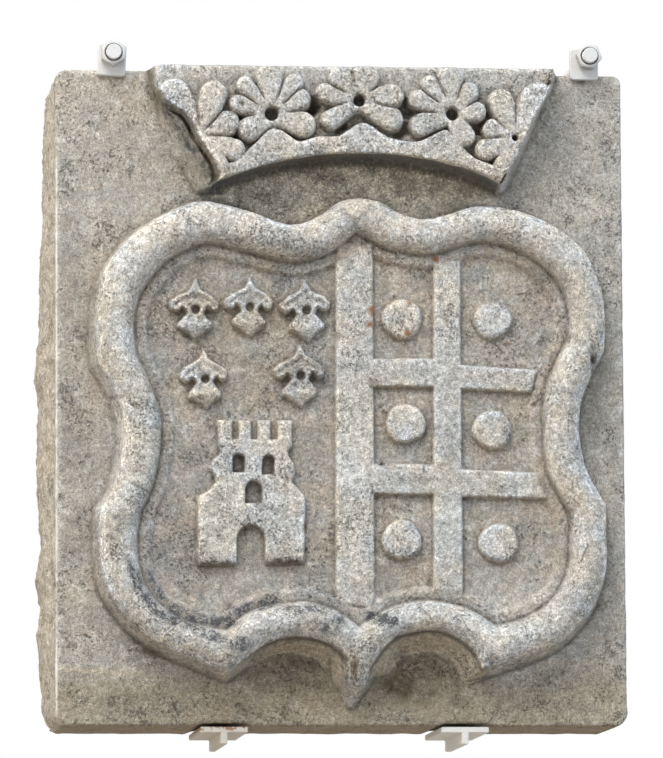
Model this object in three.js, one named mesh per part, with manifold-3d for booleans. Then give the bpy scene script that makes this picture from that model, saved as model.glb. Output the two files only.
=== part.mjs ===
// Armorial stone: one carved block with a crown over a shield, clamped to a wall
// by two threaded clips above it and carried by two steel ledge brackets below it.
// Millimetres. +X right, +Z up, the carved face looks along -Y.
// The origin is the middle of the flat back, which lies on the wall plane y = 0.
import * as THREE from 'three';
import Module from 'manifold-3d';

// Driving dimensions of the block
const BLOCK_WIDTH = 600;
const BLOCK_HEIGHT = 690;
const BLOCK_DEPTH = 150;
const ARRIS = 4;
const TOP_CORNER = 10;
const BOTTOM_CORNER = 14;
const SIDE_BULGE = 12;

// Heights of the carving above the sunk background of the block
const EMBED = 6;
const ROLL_EDGE = 24;
const KEEL_EDGE = 3;
const ROLL_TOP = 45;
const LEDGE = 26;
const FIELD = 21;
const BARS = 29;
const CHARGES = 31;
const CROWN_TOP = 50;
const CROWN_FLOOR_HIGH = 46;
const CROWN_FLOOR_LOW = 27;
const RECESS_DEPTH = 9;
const CUT_CLEARANCE = 5;

// Shield
const LEDGE_WIDTH = 13;
const RIB_STEPS = 2;
const DRAFT = 1.5;
const PLATE_SOFTEN = 2;

// Crown leaves
const LEAF_FOOT = 5;
const LEAF_SHOULDER = 5;
const EYE_DEPTH = 22;

// Steel fixings
const GAP = 0.3;
const ROD_RADIUS = 8;
const ROD_PROUD = 6;
const ROD_SIDES = 24;
const BORE_SEGMENTS = 12;
const PLATE_THICKNESS = 6;
const NUT_ACROSS_FLATS = 24;
const NUT_HEIGHT = 13;
const FLANGE_WIDTH = 50;
const FLANGE_THICKNESS = 6;
const WEB_THICKNESS = 7;
const WEB_DEPTH = 12;
const BRACKET_SETBACK = 4;

const STONE_MATERIAL = { color: 0xb9b2a6, roughness: 0.92, metalness: 0.0 };
const PAINT_MATERIAL = { color: 0xe6e6e2, roughness: 0.5, metalness: 0.1 };

const wasm = await Module();
wasm.setup();

// Ribs of the shield's roll, clockwise from the crest: outer x, z and inner x, z.
// A run is smooth from end to end, and two runs meet at a kink or a cusp.
const RIM_RUNS = [
  // right shoulder
  {
    scoop: [1, 1],
    ribs: [
      [18, 208, 14, 170], [39, 204, 29, 163], [60, 192, 49, 153], [87, 186, 86, 148],
      [115, 193, 115, 155], [150, 201, 150, 162], [198, 192, 187, 152], [240, 169, 213, 135],
      [261, 144, 229, 115], [274, 107, 236, 98], [277, 73, 238, 75], [275, 46, 237, 60],
    ],
  },
  // right waist
  {
    scoop: [1, 1],
    ribs: [
      [275, 46, 237, 60], [262, 22, 220, 28], [251, -6, 211, -1], [248, -36, 210, -36],
      [254, -73, 213, -76], [265, -97, 225, -104], [276, -114, 237, -124],
    ],
  },
  // right foot
  {
    scoop: [1, 9],
    ribs: [
      [276, -114, 237, -124], [276, -146, 237, -151], [276, -173, 236, -176], [271, -198, 229, -198],
      [256, -229, 217, -214], [226, -259, 199, -228], [183, -276, 176, -237], [146, -288, 157, -241],
    ],
  },
  // right arch
  {
    scoop: [14, 10],
    ribs: [
      [142, -287, 155, -240], [132, -267, 136, -227], [111, -252, 114, -219], [89, -247, 87, -215],
      [64, -251, 60, -219], [46, -260, 38, -228], [26, -284, 22, -237],
    ],
  },
  // keel
  {
    scoop: [5, 5],
    ribs: [
      [25, -290, 20, -240], [17, -325, 18, -242], [-2, -325, 10, -242], [-1, -283, 8, -240],
    ],
    tip: true,
  },
  // left arch
  {
    scoop: [10, 14],
    ribs: [
      [-2, -277, 6, -237], [-10, -268, -5, -229], [-27, -258, -26, -220], [-53, -254, -47, -217],
      [-78, -260, -86, -222], [-98, -272, -107, -232], [-119, -291, -121, -246],
    ],
  },
  // left foot
  {
    scoop: [12, 7],
    ribs: [
      [-123, -292, -124, -247], [-162, -276, -147, -243], [-198, -260, -173, -234],
      [-227, -235, -191, -222], [-248, -206, -207, -203], [-255, -176, -215, -177],
      [-256, -147, -216, -147], [-255, -120, -213, -125],
    ],
  },
  // left waist
  {
    scoop: [7, 7],
    ribs: [
      [-255, -120, -213, -125], [-243, -101, -202, -101], [-235, -70, -193, -66],
      [-231, -41, -191, -37], [-235, -12, -193, -17], [-243, 8, -206, 18], [-257, 31, -216, 38],
    ],
  },
  // left shoulder
  {
    scoop: [7, 1],
    ribs: [
      [-257, 31, -216, 38], [-260, 71, -220, 72], [-257, 105, -215, 98], [-251, 127, -208, 112],
      [-238, 147, -192, 132], [-213, 173, -171, 148], [-156, 202, -142, 158],
      [-108, 196, -108, 151], [-56, 179, -56, 139], [-24, 189, -24, 145], [-3, 204, -3, 156],
      [16, 208, 12, 169],
    ],
  },
];

// Edges of the crown's block: at the background and at the front, from top to bottom.
const CROWN_LEFT_BASE = [[-204, 345], [-191, 291], [-178, 255], [-163, 232], [-152, 212]];
const CROWN_LEFT_FRONT = [[-199, 345], [-188, 307], [-158, 279], [-148, 254], [-137, 222]];
const CROWN_RIGHT_BASE = [[228, 345], [213, 300], [190, 261], [176, 236], [170, 217]];
const CROWN_RIGHT_FRONT = [[222, 345], [207, 299], [184, 260], [170, 236], [165, 219]];
const RIM_ARCH = [[-137, 217], [-89, 235], [-27, 247], [19, 250], [65, 248], [122, 237], [165, 219]];
const RIM_CREST = [
  [163, 233], [138, 249], [118, 268], [108, 280], [97, 274], [73, 267], [54, 268], [36, 275],
  [17, 284], [6, 276], [-18, 271], [-47, 266], [-62, 272], [-75, 278], [-86, 270], [-99, 258],
  [-113, 244], [-140, 232],
];

// Leaves of the crown: hub, then each lobe's end x, z and its radius there.
const ROSETTES = [
  {
    hub: [-76, 293],
    hole: 7,
    lobes: [
      [-79, 331, 13], [-52, 326, 9], [-46, 309, 10], [-43, 282, 12],
      [-99, 277, 11], [-110, 303, 9], [-104, 323, 8],
    ],
  },
  {
    hub: [16, 309],
    hole: 6.5,
    lobes: [
      [23, 333, 13], [-4, 329, 12], [-20, 315, 9], [-14, 288, 9], [50, 312, 11], [50, 288, 11],
    ],
  },
  {
    hub: [114, 296],
    hole: 6.5,
    lobes: [
      [112, 332, 13], [91, 326, 9], [79, 310, 9], [82, 283, 10],
      [126, 271, 10], [140, 298, 9], [134, 318, 9],
    ],
  },
  {
    hub: [-152, 283],
    hole: 0,
    lobes: [[-175, 317, 17], [-137, 313, 14], [-124, 283, 13], [-118, 258, 12]],
  },
  {
    hub: [178, 271],
    hole: 3.5,
    lobes: [[203, 316, 13], [169, 308, 12], [155, 280, 9], [151, 258, 10]],
  },
];
const LOBE_POINTS = 12;
const LOBE_ROOT = 0.55;
const HUB_RADIUS = 14;

// Charges of the left half: flowers and tower
const FLOWER_HALF = [
  [0, 33], [5, 24], [14, 20], [24, 13], [27, 7], [25, 0], [19, -1], [14, 2], [12, -3],
  [17, -11], [19, -16], [14, -21], [5, -26], [0, -31],
];
const FLOWERS = [
  { at: [-155, 87], scale: 0.98, turn: 0 },
  { at: [-99, 90], scale: 0.96, turn: 0 },
  { at: [-42, 86], scale: 0.98, turn: 0.06 },
  { at: [-145, 14], scale: 0.95, turn: 0.05 },
  { at: [-45, 18], scale: 1.0, turn: 0.02 },
];
const FLOWER_HOLE = 4.8;
const TOWER_LEFT_SIDE = [
  [-153, -179], [-153, -108], [-141, -101], [-134, -93], [-137, -85], [-139, -75], [-128, -61],
  [-132, -54], [-132, -28],
];
const TOWER_RIGHT_SIDE = [
  [-55, -28], [-55, -54], [-60, -61], [-54, -70], [-52, -81], [-54, -93], [-41, -109], [-42, -179],
];
const PARAPET_TOP = -28;
const PARAPET_FLOOR = -48;
const PARAPET_NOTCHES = [[-118, -110], [-98, -90], [-78, -69]];
const WINDOWS = [
  { left: -117, right: -104, sill: -82, head: -63 },
  { left: -86, right: -73, sill: -84, head: -64 },
  { left: -104, right: -86, sill: -114, head: -91 },
  { left: -113, right: -83, sill: -179, head: -137 },
];

// Charges of the right half: bars and roundels
const BAR_OUTLINES = [
  [[-7, 152], [31, 152], [30, -208], [-9, -207]], // pale
  [[96, 140], [123, 141], [123, -205], [93, -206]], // upright bar
  [[28, 38], [97, 38], [97, 9], [28, 9]], // upper bar, left part
  [[121, 32], [203, 27], [199, 4], [121, 7]], // upper bar, right part
  [[28, -73], [97, -73], [97, -104], [28, -104]], // lower bar, left part
  [[121, -78], [202, -81], [210, -108], [121, -106]], // lower bar, right part
];
const ROUNDELS = [[62, 80], [158, 80], [65, -30], [156, -36], [60, -152], [162, -155]];
const ROUNDEL_RADIUS = 21;
const ROUNDEL_POINTS = 24;

// Fixings
const CLIPS = [
  {
    side: 'left',
    rod: [-240, 361],
    plate: { centre: [-241, 355], width: 30, height: 34, turn: -0.05 },
    nutTurn: 0,
  },
  {
    side: 'right',
    rod: [264, 363],
    plate: { centre: [260, 356], width: 30, height: 33, turn: 0 },
    nutTurn: 0.35,
  },
];
const BRACKETS = [{ side: 'left', x: -124 }, { side: 'right', x: 129 }];

// A point of the carved face: x, z and the height above the background.
function facePoint(x, z, height) {
  return new THREE.Vector3(x, -BLOCK_DEPTH - height, z);
}

// A closed solid from rings of equal length, [x, z, height], capped at both ends.
function loftRings(given) {
  const clockwise = THREE.ShapeUtils.isClockWise(given[0].map(([x, z]) => new THREE.Vector2(x, z)));
  const rings = clockwise ? given.map((ring) => [...ring].reverse()) : given;
  const count = rings[0].length;
  const points = rings.flat().map(([x, z, height]) => facePoint(x, z, height));
  const triangles = [];
  for (let ring = 0; ring + 1 < rings.length; ring += 1) {
    for (let i = 0; i < count; i += 1) {
      const a = ring * count + i;
      const b = ring * count + ((i + 1) % count);
      triangles.push([a, b, b + count], [a, b + count, a + count]);
    }
  }
  const cap = (ring, flip) => {
    const outline = rings[ring].map(([x, z]) => new THREE.Vector2(x, z));
    const start = ring * count;
    for (const [a, b, c] of THREE.ShapeUtils.triangulateShape(outline, [])) {
      triangles.push(flip ? [start + c, start + b, start + a] : [start + a, start + b, start + c]);
    }
  };
  cap(0, true);
  cap(rings.length - 1, false);
  return solidFrom(points, triangles);
}

// A manifold solid from points and triangles, turned so that its volume is positive.
function solidFrom(points, triangles) {
  let volume = 0;
  for (const [a, b, c] of triangles) {
    volume += points[a].dot(new THREE.Vector3().crossVectors(points[b], points[c]));
  }
  const faces = volume > 0 ? triangles : triangles.map(([a, b, c]) => [a, c, b]);
  const mesh = new wasm.Mesh({
    numProp: 3,
    vertProperties: new Float32Array(points.flatMap((p) => [p.x, p.y, p.z])),
    triVerts: new Uint32Array(faces.flat()),
  });
  mesh.merge();
  return new wasm.Manifold(mesh);
}

function atHeight(outline, height) {
  return outline.map(([x, z]) => [x, z, height]);
}

// Unit normals of a closed outline, pointing out of it, averaged with their neighbours.
function outlineNormals(outline, smoothing) {
  const count = outline.length;
  const side = THREE.ShapeUtils.isClockWise(outline.map(([x, z]) => new THREE.Vector2(x, z))) ? -1 : 1;
  let normals = outline.map((_, i) => {
    const before = outline[(i + count - 1) % count];
    const after = outline[(i + 1) % count];
    return new THREE.Vector2(after[1] - before[1], before[0] - after[0]).multiplyScalar(side).normalize();
  });
  for (let pass = 0; pass < smoothing; pass += 1) {
    normals = normals.map((normal, i) => normal.clone()
      .add(normals[(i + count - 1) % count])
      .add(normals[(i + 1) % count])
      .normalize());
  }
  return normals;
}

// An outline moved outwards by a distance, which may be a number or one for each point.
function grow(outline, distance, smoothing = 0) {
  const normals = outlineNormals(outline, smoothing);
  return outline.map(([x, z], i) => {
    const step = Array.isArray(distance) ? distance[i] : distance;
    return [x + normals[i].x * step, z + normals[i].y * step];
  });
}

// An outline whose points are drawn towards the middle of their neighbours.
function relax(outline, passes) {
  const count = outline.length;
  let points = outline;
  for (let pass = 0; pass < passes; pass += 1) {
    points = points.map(([x, z], i) => {
      const before = points[(i + count - 1) % count];
      const after = points[(i + 1) % count];
      return [(before[0] + 2 * x + after[0]) / 4, (before[1] + 2 * z + after[1]) / 4];
    });
  }
  return points;
}

// A raised plate with drafted sides and a softened edge.
function raisedPlate(outline, floor, top, soften = PLATE_SOFTEN) {
  return loftRings([
    atHeight(grow(outline, DRAFT), floor),
    atHeight(outline, top - soften),
    atHeight(grow(outline, -soften * 0.8), top),
  ]);
}

// Ribs of all runs, with points added between them on smooth curves.
function shieldRibs() {
  const ribs = [];
  for (const run of RIM_RUNS) {
    const outer = new THREE.SplineCurve(run.ribs.map(([x, z]) => new THREE.Vector2(x, z)));
    const inner = new THREE.SplineCurve(run.ribs.map(([, , x, z]) => new THREE.Vector2(x, z)));
    const spans = run.ribs.length - 1;
    const steps = spans * (run.tip ? 1 : RIB_STEPS);
    for (let i = run.tip ? 1 : 0; i < (run.tip ? steps : steps + 1); i += 1) {
      const t = i / steps;
      const o = outer.getPoint(t);
      const n = inner.getPoint(t);
      const last = ribs[ribs.length - 1];
      const repeated = last && Math.hypot(last.outer[0] - o.x, last.outer[1] - o.y) < 1.5;
      if (!repeated) {
        ribs.push({
          outer: [o.x, o.y],
          inner: [n.x, n.y],
          edge: run.tip ? KEEL_EDGE : ROLL_EDGE,
          tip: run.tip,
          scoop: THREE.MathUtils.lerp(run.scoop[0], run.scoop[1], t),
        });
      }
    }
  }
  return ribs;
}

// Shield: scooped outer wall, half-round roll, flat ledge and sunk field, in one stack of rings.
function makeShield() {
  const ribs = shieldRibs();
  const outer = ribs.map((rib) => rib.outer);
  const inner = ribs.map((rib) => rib.inner);
  const scoops = ribs.map((rib) => rib.scoop);
  const foot = grow(outer, scoops, 2);
  const wall = grow(outer, scoops.map((scoop) => scoop * 0.35), 2);
  const rings = [
    atHeight(foot, -EMBED),
    atHeight(foot, 0),
    wall.map(([x, z], i) => [x, z, ribs[i].edge * 0.35]),
    outer.map(([x, z], i) => [x, z, ribs[i].edge]),
  ];
  for (const t of [0.1, 0.28, 0.5, 0.72, 0.9]) {
    rings.push(ribs.map((rib) => {
      const x = THREE.MathUtils.lerp(rib.outer[0], rib.inner[0], t);
      const z = THREE.MathUtils.lerp(rib.outer[1], rib.inner[1], t);
      const foundation = THREE.MathUtils.lerp(rib.edge, LEDGE, t);
      const sloping = rib.tip && t < 0.5;
      const fullness = sloping ? t * 2 : Math.sin(Math.PI * t) ** 0.7;
      return [x, z, foundation + (ROLL_TOP - foundation) * fullness ** (sloping ? 1.4 : 1)];
    }));
  }
  const ledge = relax(grow(inner, -LEDGE_WIDTH, 3), 4);
  const field = relax(grow(ledge, -DRAFT, 3), 1);
  rings.push(atHeight(inner, LEDGE), atHeight(ledge, LEDGE), atHeight(field, FIELD));
  return loftRings(rings);
}

// A lobe from the hub to its end: a tapered tongue with a pillowed face.
function makeLobe(hub, [endX, endZ, radius], floor) {
  const heading = Math.atan2(endZ - hub[1], endX - hub[0]);
  const tongue = (fullness) => Array.from({ length: LOBE_POINTS }, (_, i) => {
    const turn = ((i + 0.5) / LOBE_POINTS) * Math.PI * 2;
    const atEnd = Math.cos(turn) > 0;
    const centre = atEnd ? [endX, endZ] : hub;
    const size = fullness * radius * (atEnd ? 1 : LOBE_ROOT);
    return [centre[0] + size * Math.cos(heading + turn), centre[1] + size * Math.sin(heading + turn)];
  });
  return loftRings([
    atHeight(tongue(1), floor),
    atHeight(tongue(1), CROWN_TOP - LEAF_SHOULDER),
    atHeight(tongue(0.8), CROWN_TOP - 1.5),
    atHeight(tongue(0.5), CROWN_TOP),
  ]);
}

function circleOutline(centre, radius, count) {
  return Array.from({ length: count }, (_, i) => [
    centre[0] + radius * Math.cos((i / count) * Math.PI * 2),
    centre[1] + radius * Math.sin((i / count) * Math.PI * 2),
  ]);
}

// Height of the sunk ground between the crown's leaves: high at the top, low at the rim.
function crownFloor(z) {
  const low = RIM_CREST[8][1];
  const rise = THREE.MathUtils.clamp((z - low) / (BLOCK_HEIGHT / 2 - low), 0, 1);
  return THREE.MathUtils.lerp(CROWN_FLOOR_LOW, CROWN_FLOOR_HIGH, rise);
}

// Crown: sloping ground, rim and leaves joined, with the drilled hubs cut out.
function makeCrown() {
  const base = [...CROWN_LEFT_BASE, ...RIM_ARCH.slice(1, -1), ...[...CROWN_RIGHT_BASE].reverse()];
  const front = [...CROWN_LEFT_FRONT, ...RIM_ARCH.slice(1, -1), ...[...CROWN_RIGHT_FRONT].reverse()];
  const body = loftRings([
    atHeight(base, -EMBED),
    atHeight(base, 0),
    front.map(([x, z]) => [x, z, crownFloor(z)]),
  ]);
  const rim = raisedPlate([...RIM_ARCH, ...RIM_CREST], 0, CROWN_TOP, 3);
  let crown = body.add(rim);
  for (const rosette of ROSETTES) {
    for (const lobe of rosette.lobes) {
      crown = crown.add(makeLobe(rosette.hub, lobe, LEAF_FOOT));
    }
    const hub = circleOutline(rosette.hub, HUB_RADIUS, LOBE_POINTS);
    crown = crown.add(loftRings([atHeight(hub, LEAF_FOOT), atHeight(hub, CROWN_TOP - 2)]));
  }
  for (const { hub, hole } of ROSETTES) {
    if (hole > 0) {
      const bore = circleOutline(hub, hole, LOBE_POINTS);
      const bottom = atHeight(bore, CROWN_TOP - EYE_DEPTH);
      const above = atHeight(bore, CROWN_TOP + CUT_CLEARANCE);
      crown = crown.subtract(loftRings([bottom, above]));
    }
  }
  return crown;
}

// One flower: mirrored outline, softened edge and a drilled eye.
function makeFlower({ at, scale, turn }) {
  const mirrored = FLOWER_HALF.slice(1, -1).reverse().map(([x, z]) => [-x, z]);
  const outline = [...FLOWER_HALF, ...mirrored].map(([x, z]) => [
    at[0] + scale * (x * Math.cos(turn) - z * Math.sin(turn)),
    at[1] + scale * (x * Math.sin(turn) + z * Math.cos(turn)),
  ]);
  const eye = circleOutline(at, FLOWER_HOLE, 10);
  return raisedPlate(outline, FIELD - EMBED, CHARGES)
    .subtract(loftRings([atHeight(eye, FIELD), atHeight(eye, CHARGES + CUT_CLEARANCE)]));
}

// A round-headed opening, cut from the sill up.
function archedOutline({ left, right, sill, head }) {
  const half = (right - left) / 2;
  const centre = (left + right) / 2;
  const spring = head - half;
  const outline = [[left, sill], [right, sill]];
  for (let i = 0; i <= 6; i += 1) {
    const turn = (i / 6) * Math.PI;
    outline.push([centre + half * Math.cos(turn), spring + half * Math.sin(turn)]);
  }
  return outline;
}

// Tower: wide base, waisted shaft and a notched parapet, with recessed door and windows.
function makeTower() {
  const notches = PARAPET_NOTCHES.flatMap(([left, right]) => [
    [left, PARAPET_TOP], [left, PARAPET_FLOOR], [right, PARAPET_FLOOR], [right, PARAPET_TOP],
  ]);
  const outline = [...TOWER_LEFT_SIDE, ...notches, ...TOWER_RIGHT_SIDE];
  let tower = raisedPlate(outline, FIELD - EMBED, CHARGES, 1.5);
  for (const opening of WINDOWS) {
    const edge = archedOutline(opening);
    const back = CHARGES - RECESS_DEPTH;
    const above = atHeight(edge, CHARGES + CUT_CLEARANCE);
    tower = tower.subtract(loftRings([atHeight(edge, back), above]));
  }
  return tower;
}

// Block outline with rounded corners, counterclockwise from the bottom left corner.
function blockOutline(reach) {
  const corners = [
    [-1, -1, BOTTOM_CORNER], [1, -1, BOTTOM_CORNER], [1, 1, TOP_CORNER], [-1, 1, TOP_CORNER],
  ];
  const outline = [];
  corners.forEach(([sx, sz, radius], corner) => {
    const cx = sx * (BLOCK_WIDTH / 2 - radius);
    const cz = sz * (BLOCK_HEIGHT / 2 - radius);
    for (let i = 0; i <= 3; i += 1) {
      const turn = Math.PI * (1 + corner / 2) + (i / 3) * (Math.PI / 2);
      outline.push([cx + radius * Math.cos(turn), cz + radius * Math.sin(turn)]);
    }
    const next = corners[(corner + 1) % 4];
    for (let i = 1; i < 6; i += 1) {
      const along = i / 6;
      outline.push([
        THREE.MathUtils.lerp(cx, next[0] * (BLOCK_WIDTH / 2 - next[2]), along)
          + radius * Math.cos(Math.PI * (1.5 + corner / 2)),
        THREE.MathUtils.lerp(cz, next[1] * (BLOCK_HEIGHT / 2 - next[2]), along)
          + radius * Math.sin(Math.PI * (1.5 + corner / 2)),
      ]);
    }
  });
  return outline.map(([x, z], i) => {
    const wave = 0.75 + 0.25 * Math.sin(i * 2.4);
    const share = Math.abs(x) > BLOCK_WIDTH / 2 - 1 ? 1 : 0;
    return [x + Math.sign(x) * reach * wave * share, z];
  });
}

// Block: roughly dressed sides that swell behind the straight front edge.
function makeBlock() {
  const edge = blockOutline(0);
  return loftRings([
    atHeight(blockOutline(SIDE_BULGE * 0.8), -BLOCK_DEPTH),
    atHeight(blockOutline(SIDE_BULGE), -BLOCK_DEPTH * 0.6),
    atHeight(blockOutline(SIDE_BULGE * 0.5), -BLOCK_DEPTH * 0.15),
    atHeight(edge, -ARRIS),
    atHeight(grow(edge, -ARRIS * 0.5), 0),
  ]);
}

function makeStone() {
  let stone = makeBlock().add(makeShield()).add(makeCrown());
  for (const corners of BAR_OUTLINES) {
    stone = stone.add(raisedPlate(corners, FIELD - EMBED, BARS, 1.5));
  }
  for (const centre of ROUNDELS) {
    const disc = circleOutline(centre, ROUNDEL_RADIUS, ROUNDEL_POINTS);
    stone = stone.add(raisedPlate(disc, FIELD - EMBED, BARS + 1, 2.5));
  }
  for (const flower of FLOWERS) {
    stone = stone.add(makeFlower(flower));
  }
  return stone.add(makeTower());
}

function geometryOf(solid) {
  const mesh = solid.getMesh();
  const geometry = new THREE.BufferGeometry();
  geometry.setAttribute('position', new THREE.BufferAttribute(mesh.vertProperties, 3));
  geometry.setIndex(new THREE.BufferAttribute(mesh.triVerts, 1));
  return geometry;
}

function namedMesh(name, geometry, finish) {
  geometry.computeVertexNormals();
  const mesh = new THREE.Mesh(geometry, new THREE.MeshStandardMaterial(finish));
  mesh.name = name;
  return mesh;
}

function circlePath(radius) {
  const path = new THREE.Path();
  path.absarc(0, 0, radius, 0, Math.PI * 2, true);
  return path;
}

// A flat part on the carved face, extruded from its back face towards the front.
function faceExtrusion(shape, thickness) {
  const settings = { depth: thickness, bevelEnabled: false, curveSegments: BORE_SEGMENTS };
  const geometry = new THREE.ExtrudeGeometry(shape, settings);
  return geometry.rotateX(Math.PI / 2);
}

// Clip plate: a small steel plate with a hole for the rod.
function makeClipPlate({ rod, plate }) {
  const { width, height, turn, centre } = plate;
  const shape = new THREE.Shape();
  for (const [sx, sz] of [[-1, -1], [1, -1], [1, 1], [-1, 1]]) {
    const x = (sx * width) / 2;
    const z = (sz * height) / 2;
    const px = centre[0] - rod[0] + x * Math.cos(turn) - z * Math.sin(turn);
    const pz = centre[1] - rod[1] + x * Math.sin(turn) + z * Math.cos(turn);
    if (sx === -1 && sz === -1) {
      shape.moveTo(px, pz);
    } else {
      shape.lineTo(px, pz);
    }
  }
  shape.closePath();
  shape.holes.push(circlePath(ROD_RADIUS + GAP));
  return faceExtrusion(shape, PLATE_THICKNESS);
}

// Hexagon nut with a plain bore.
function makeNut(turn) {
  const shape = new THREE.Shape();
  const corner = NUT_ACROSS_FLATS / 2 / Math.cos(Math.PI / 6);
  for (let i = 0; i < 6; i += 1) {
    const angle = turn + Math.PI / 6 + (i * Math.PI) / 3 + Math.PI / 3;
    const x = corner * Math.cos(angle);
    const z = corner * Math.sin(angle);
    if (i === 0) {
      shape.moveTo(x, z);
    } else {
      shape.lineTo(x, z);
    }
  }
  shape.closePath();
  shape.holes.push(circlePath(ROD_RADIUS + GAP));
  return faceExtrusion(shape, NUT_HEIGHT);
}

// Ledge bracket: a tee bar, flange up, with the web cut back at its free end.
function makeBracket() {
  const length = BLOCK_DEPTH - BRACKET_SETBACK;
  const half = FLANGE_WIDTH / 2;
  const web = WEB_THICKNESS / 2;
  const depth = FLANGE_THICKNESS + WEB_DEPTH;
  const section = new THREE.Shape();
  section.moveTo(-half, 0);
  section.lineTo(-half, -FLANGE_THICKNESS);
  section.lineTo(-web, -FLANGE_THICKNESS);
  section.lineTo(-web, -depth);
  section.lineTo(web, -depth);
  section.lineTo(web, -FLANGE_THICKNESS);
  section.lineTo(half, -FLANGE_THICKNESS);
  section.lineTo(half, 0);
  section.closePath();
  return faceExtrusion(section, length);
}

const group = new THREE.Group();
group.add(namedMesh('armorial_stone', geometryOf(makeStone()), STONE_MATERIAL));

const frontFace = -BLOCK_DEPTH;
for (const clip of CLIPS) {
  const [x, z] = clip.rod;
  const plate = namedMesh(`${clip.side}_clip_plate`, makeClipPlate(clip), PAINT_MATERIAL);
  plate.position.set(x, frontFace - GAP, z);
  group.add(plate);

  const nut = namedMesh(`${clip.side}_clip_nut`, makeNut(clip.nutTurn), PAINT_MATERIAL);
  nut.position.set(x, frontFace - 2 * GAP - PLATE_THICKNESS, z);
  group.add(nut);

  const length = BLOCK_DEPTH + 2 * GAP + PLATE_THICKNESS + NUT_HEIGHT + ROD_PROUD;
  const bar = new THREE.CylinderGeometry(ROD_RADIUS, ROD_RADIUS, length, ROD_SIDES);
  const rod = namedMesh(`${clip.side}_clip_rod`, bar, PAINT_MATERIAL);
  rod.position.set(x, -length / 2, z);
  group.add(rod);
}
for (const bracket of BRACKETS) {
  const arm = namedMesh(`${bracket.side}_ledge_bracket`, makeBracket(), PAINT_MATERIAL);
  arm.position.set(bracket.x, 0, -BLOCK_HEIGHT / 2 - GAP);
  group.add(arm);
}

export default group;
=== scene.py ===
# Looks of the carved armorial stone and of the steel fixings that hold it to a wall.
# Carving is worked out in millimetres on a grid over the front face: x to the right, z up,
# and height out from the sunk background, towards the viewer. Blender objects are in metres.
import math

import bmesh
import bpy
import numpy as np
from mathutils import Matrix, Vector


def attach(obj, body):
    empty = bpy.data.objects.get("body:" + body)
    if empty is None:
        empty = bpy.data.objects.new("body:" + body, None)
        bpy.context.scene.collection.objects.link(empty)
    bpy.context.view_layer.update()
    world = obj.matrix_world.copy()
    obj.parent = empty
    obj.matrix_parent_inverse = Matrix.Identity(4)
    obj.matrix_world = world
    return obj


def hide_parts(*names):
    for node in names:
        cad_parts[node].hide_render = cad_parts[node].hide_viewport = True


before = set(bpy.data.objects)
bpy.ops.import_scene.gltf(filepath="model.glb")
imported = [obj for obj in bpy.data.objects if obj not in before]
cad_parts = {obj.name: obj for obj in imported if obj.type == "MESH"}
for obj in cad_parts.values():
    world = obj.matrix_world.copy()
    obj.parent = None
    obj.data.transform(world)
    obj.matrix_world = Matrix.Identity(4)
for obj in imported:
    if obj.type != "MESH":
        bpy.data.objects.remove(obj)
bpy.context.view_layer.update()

MM = 0.001

# Block
BLOCK_WIDTH = 600.0
BLOCK_HEIGHT = 690.0
BLOCK_DEPTH = 150.0
CORNER_RADIUS = (14.0, 14.0, 9.0, 11.0)  # bottom left, bottom right, top right, top left
GRID_STEP = 1.25
TRIANGLE_LIMIT = 188000

# Heights above the background
ROLL_EDGE = 24.0
KEEL_EDGE = 5.0
ROLL_TOP = 45.0
LEDGE = 26.0
LEDGE_WIDTH = 13.0
GUTTER_DEPTH = 1.4
FIELD = 21.0
BARS = 28.5
CHARGES = 31.0
CROWN_TOP = 50.0
CROWN_FLOOR_HIGH = 45.0
CROWN_FLOOR_LOW = 34.0

BRACKET_X = {"left": -124, "right": 129}

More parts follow.
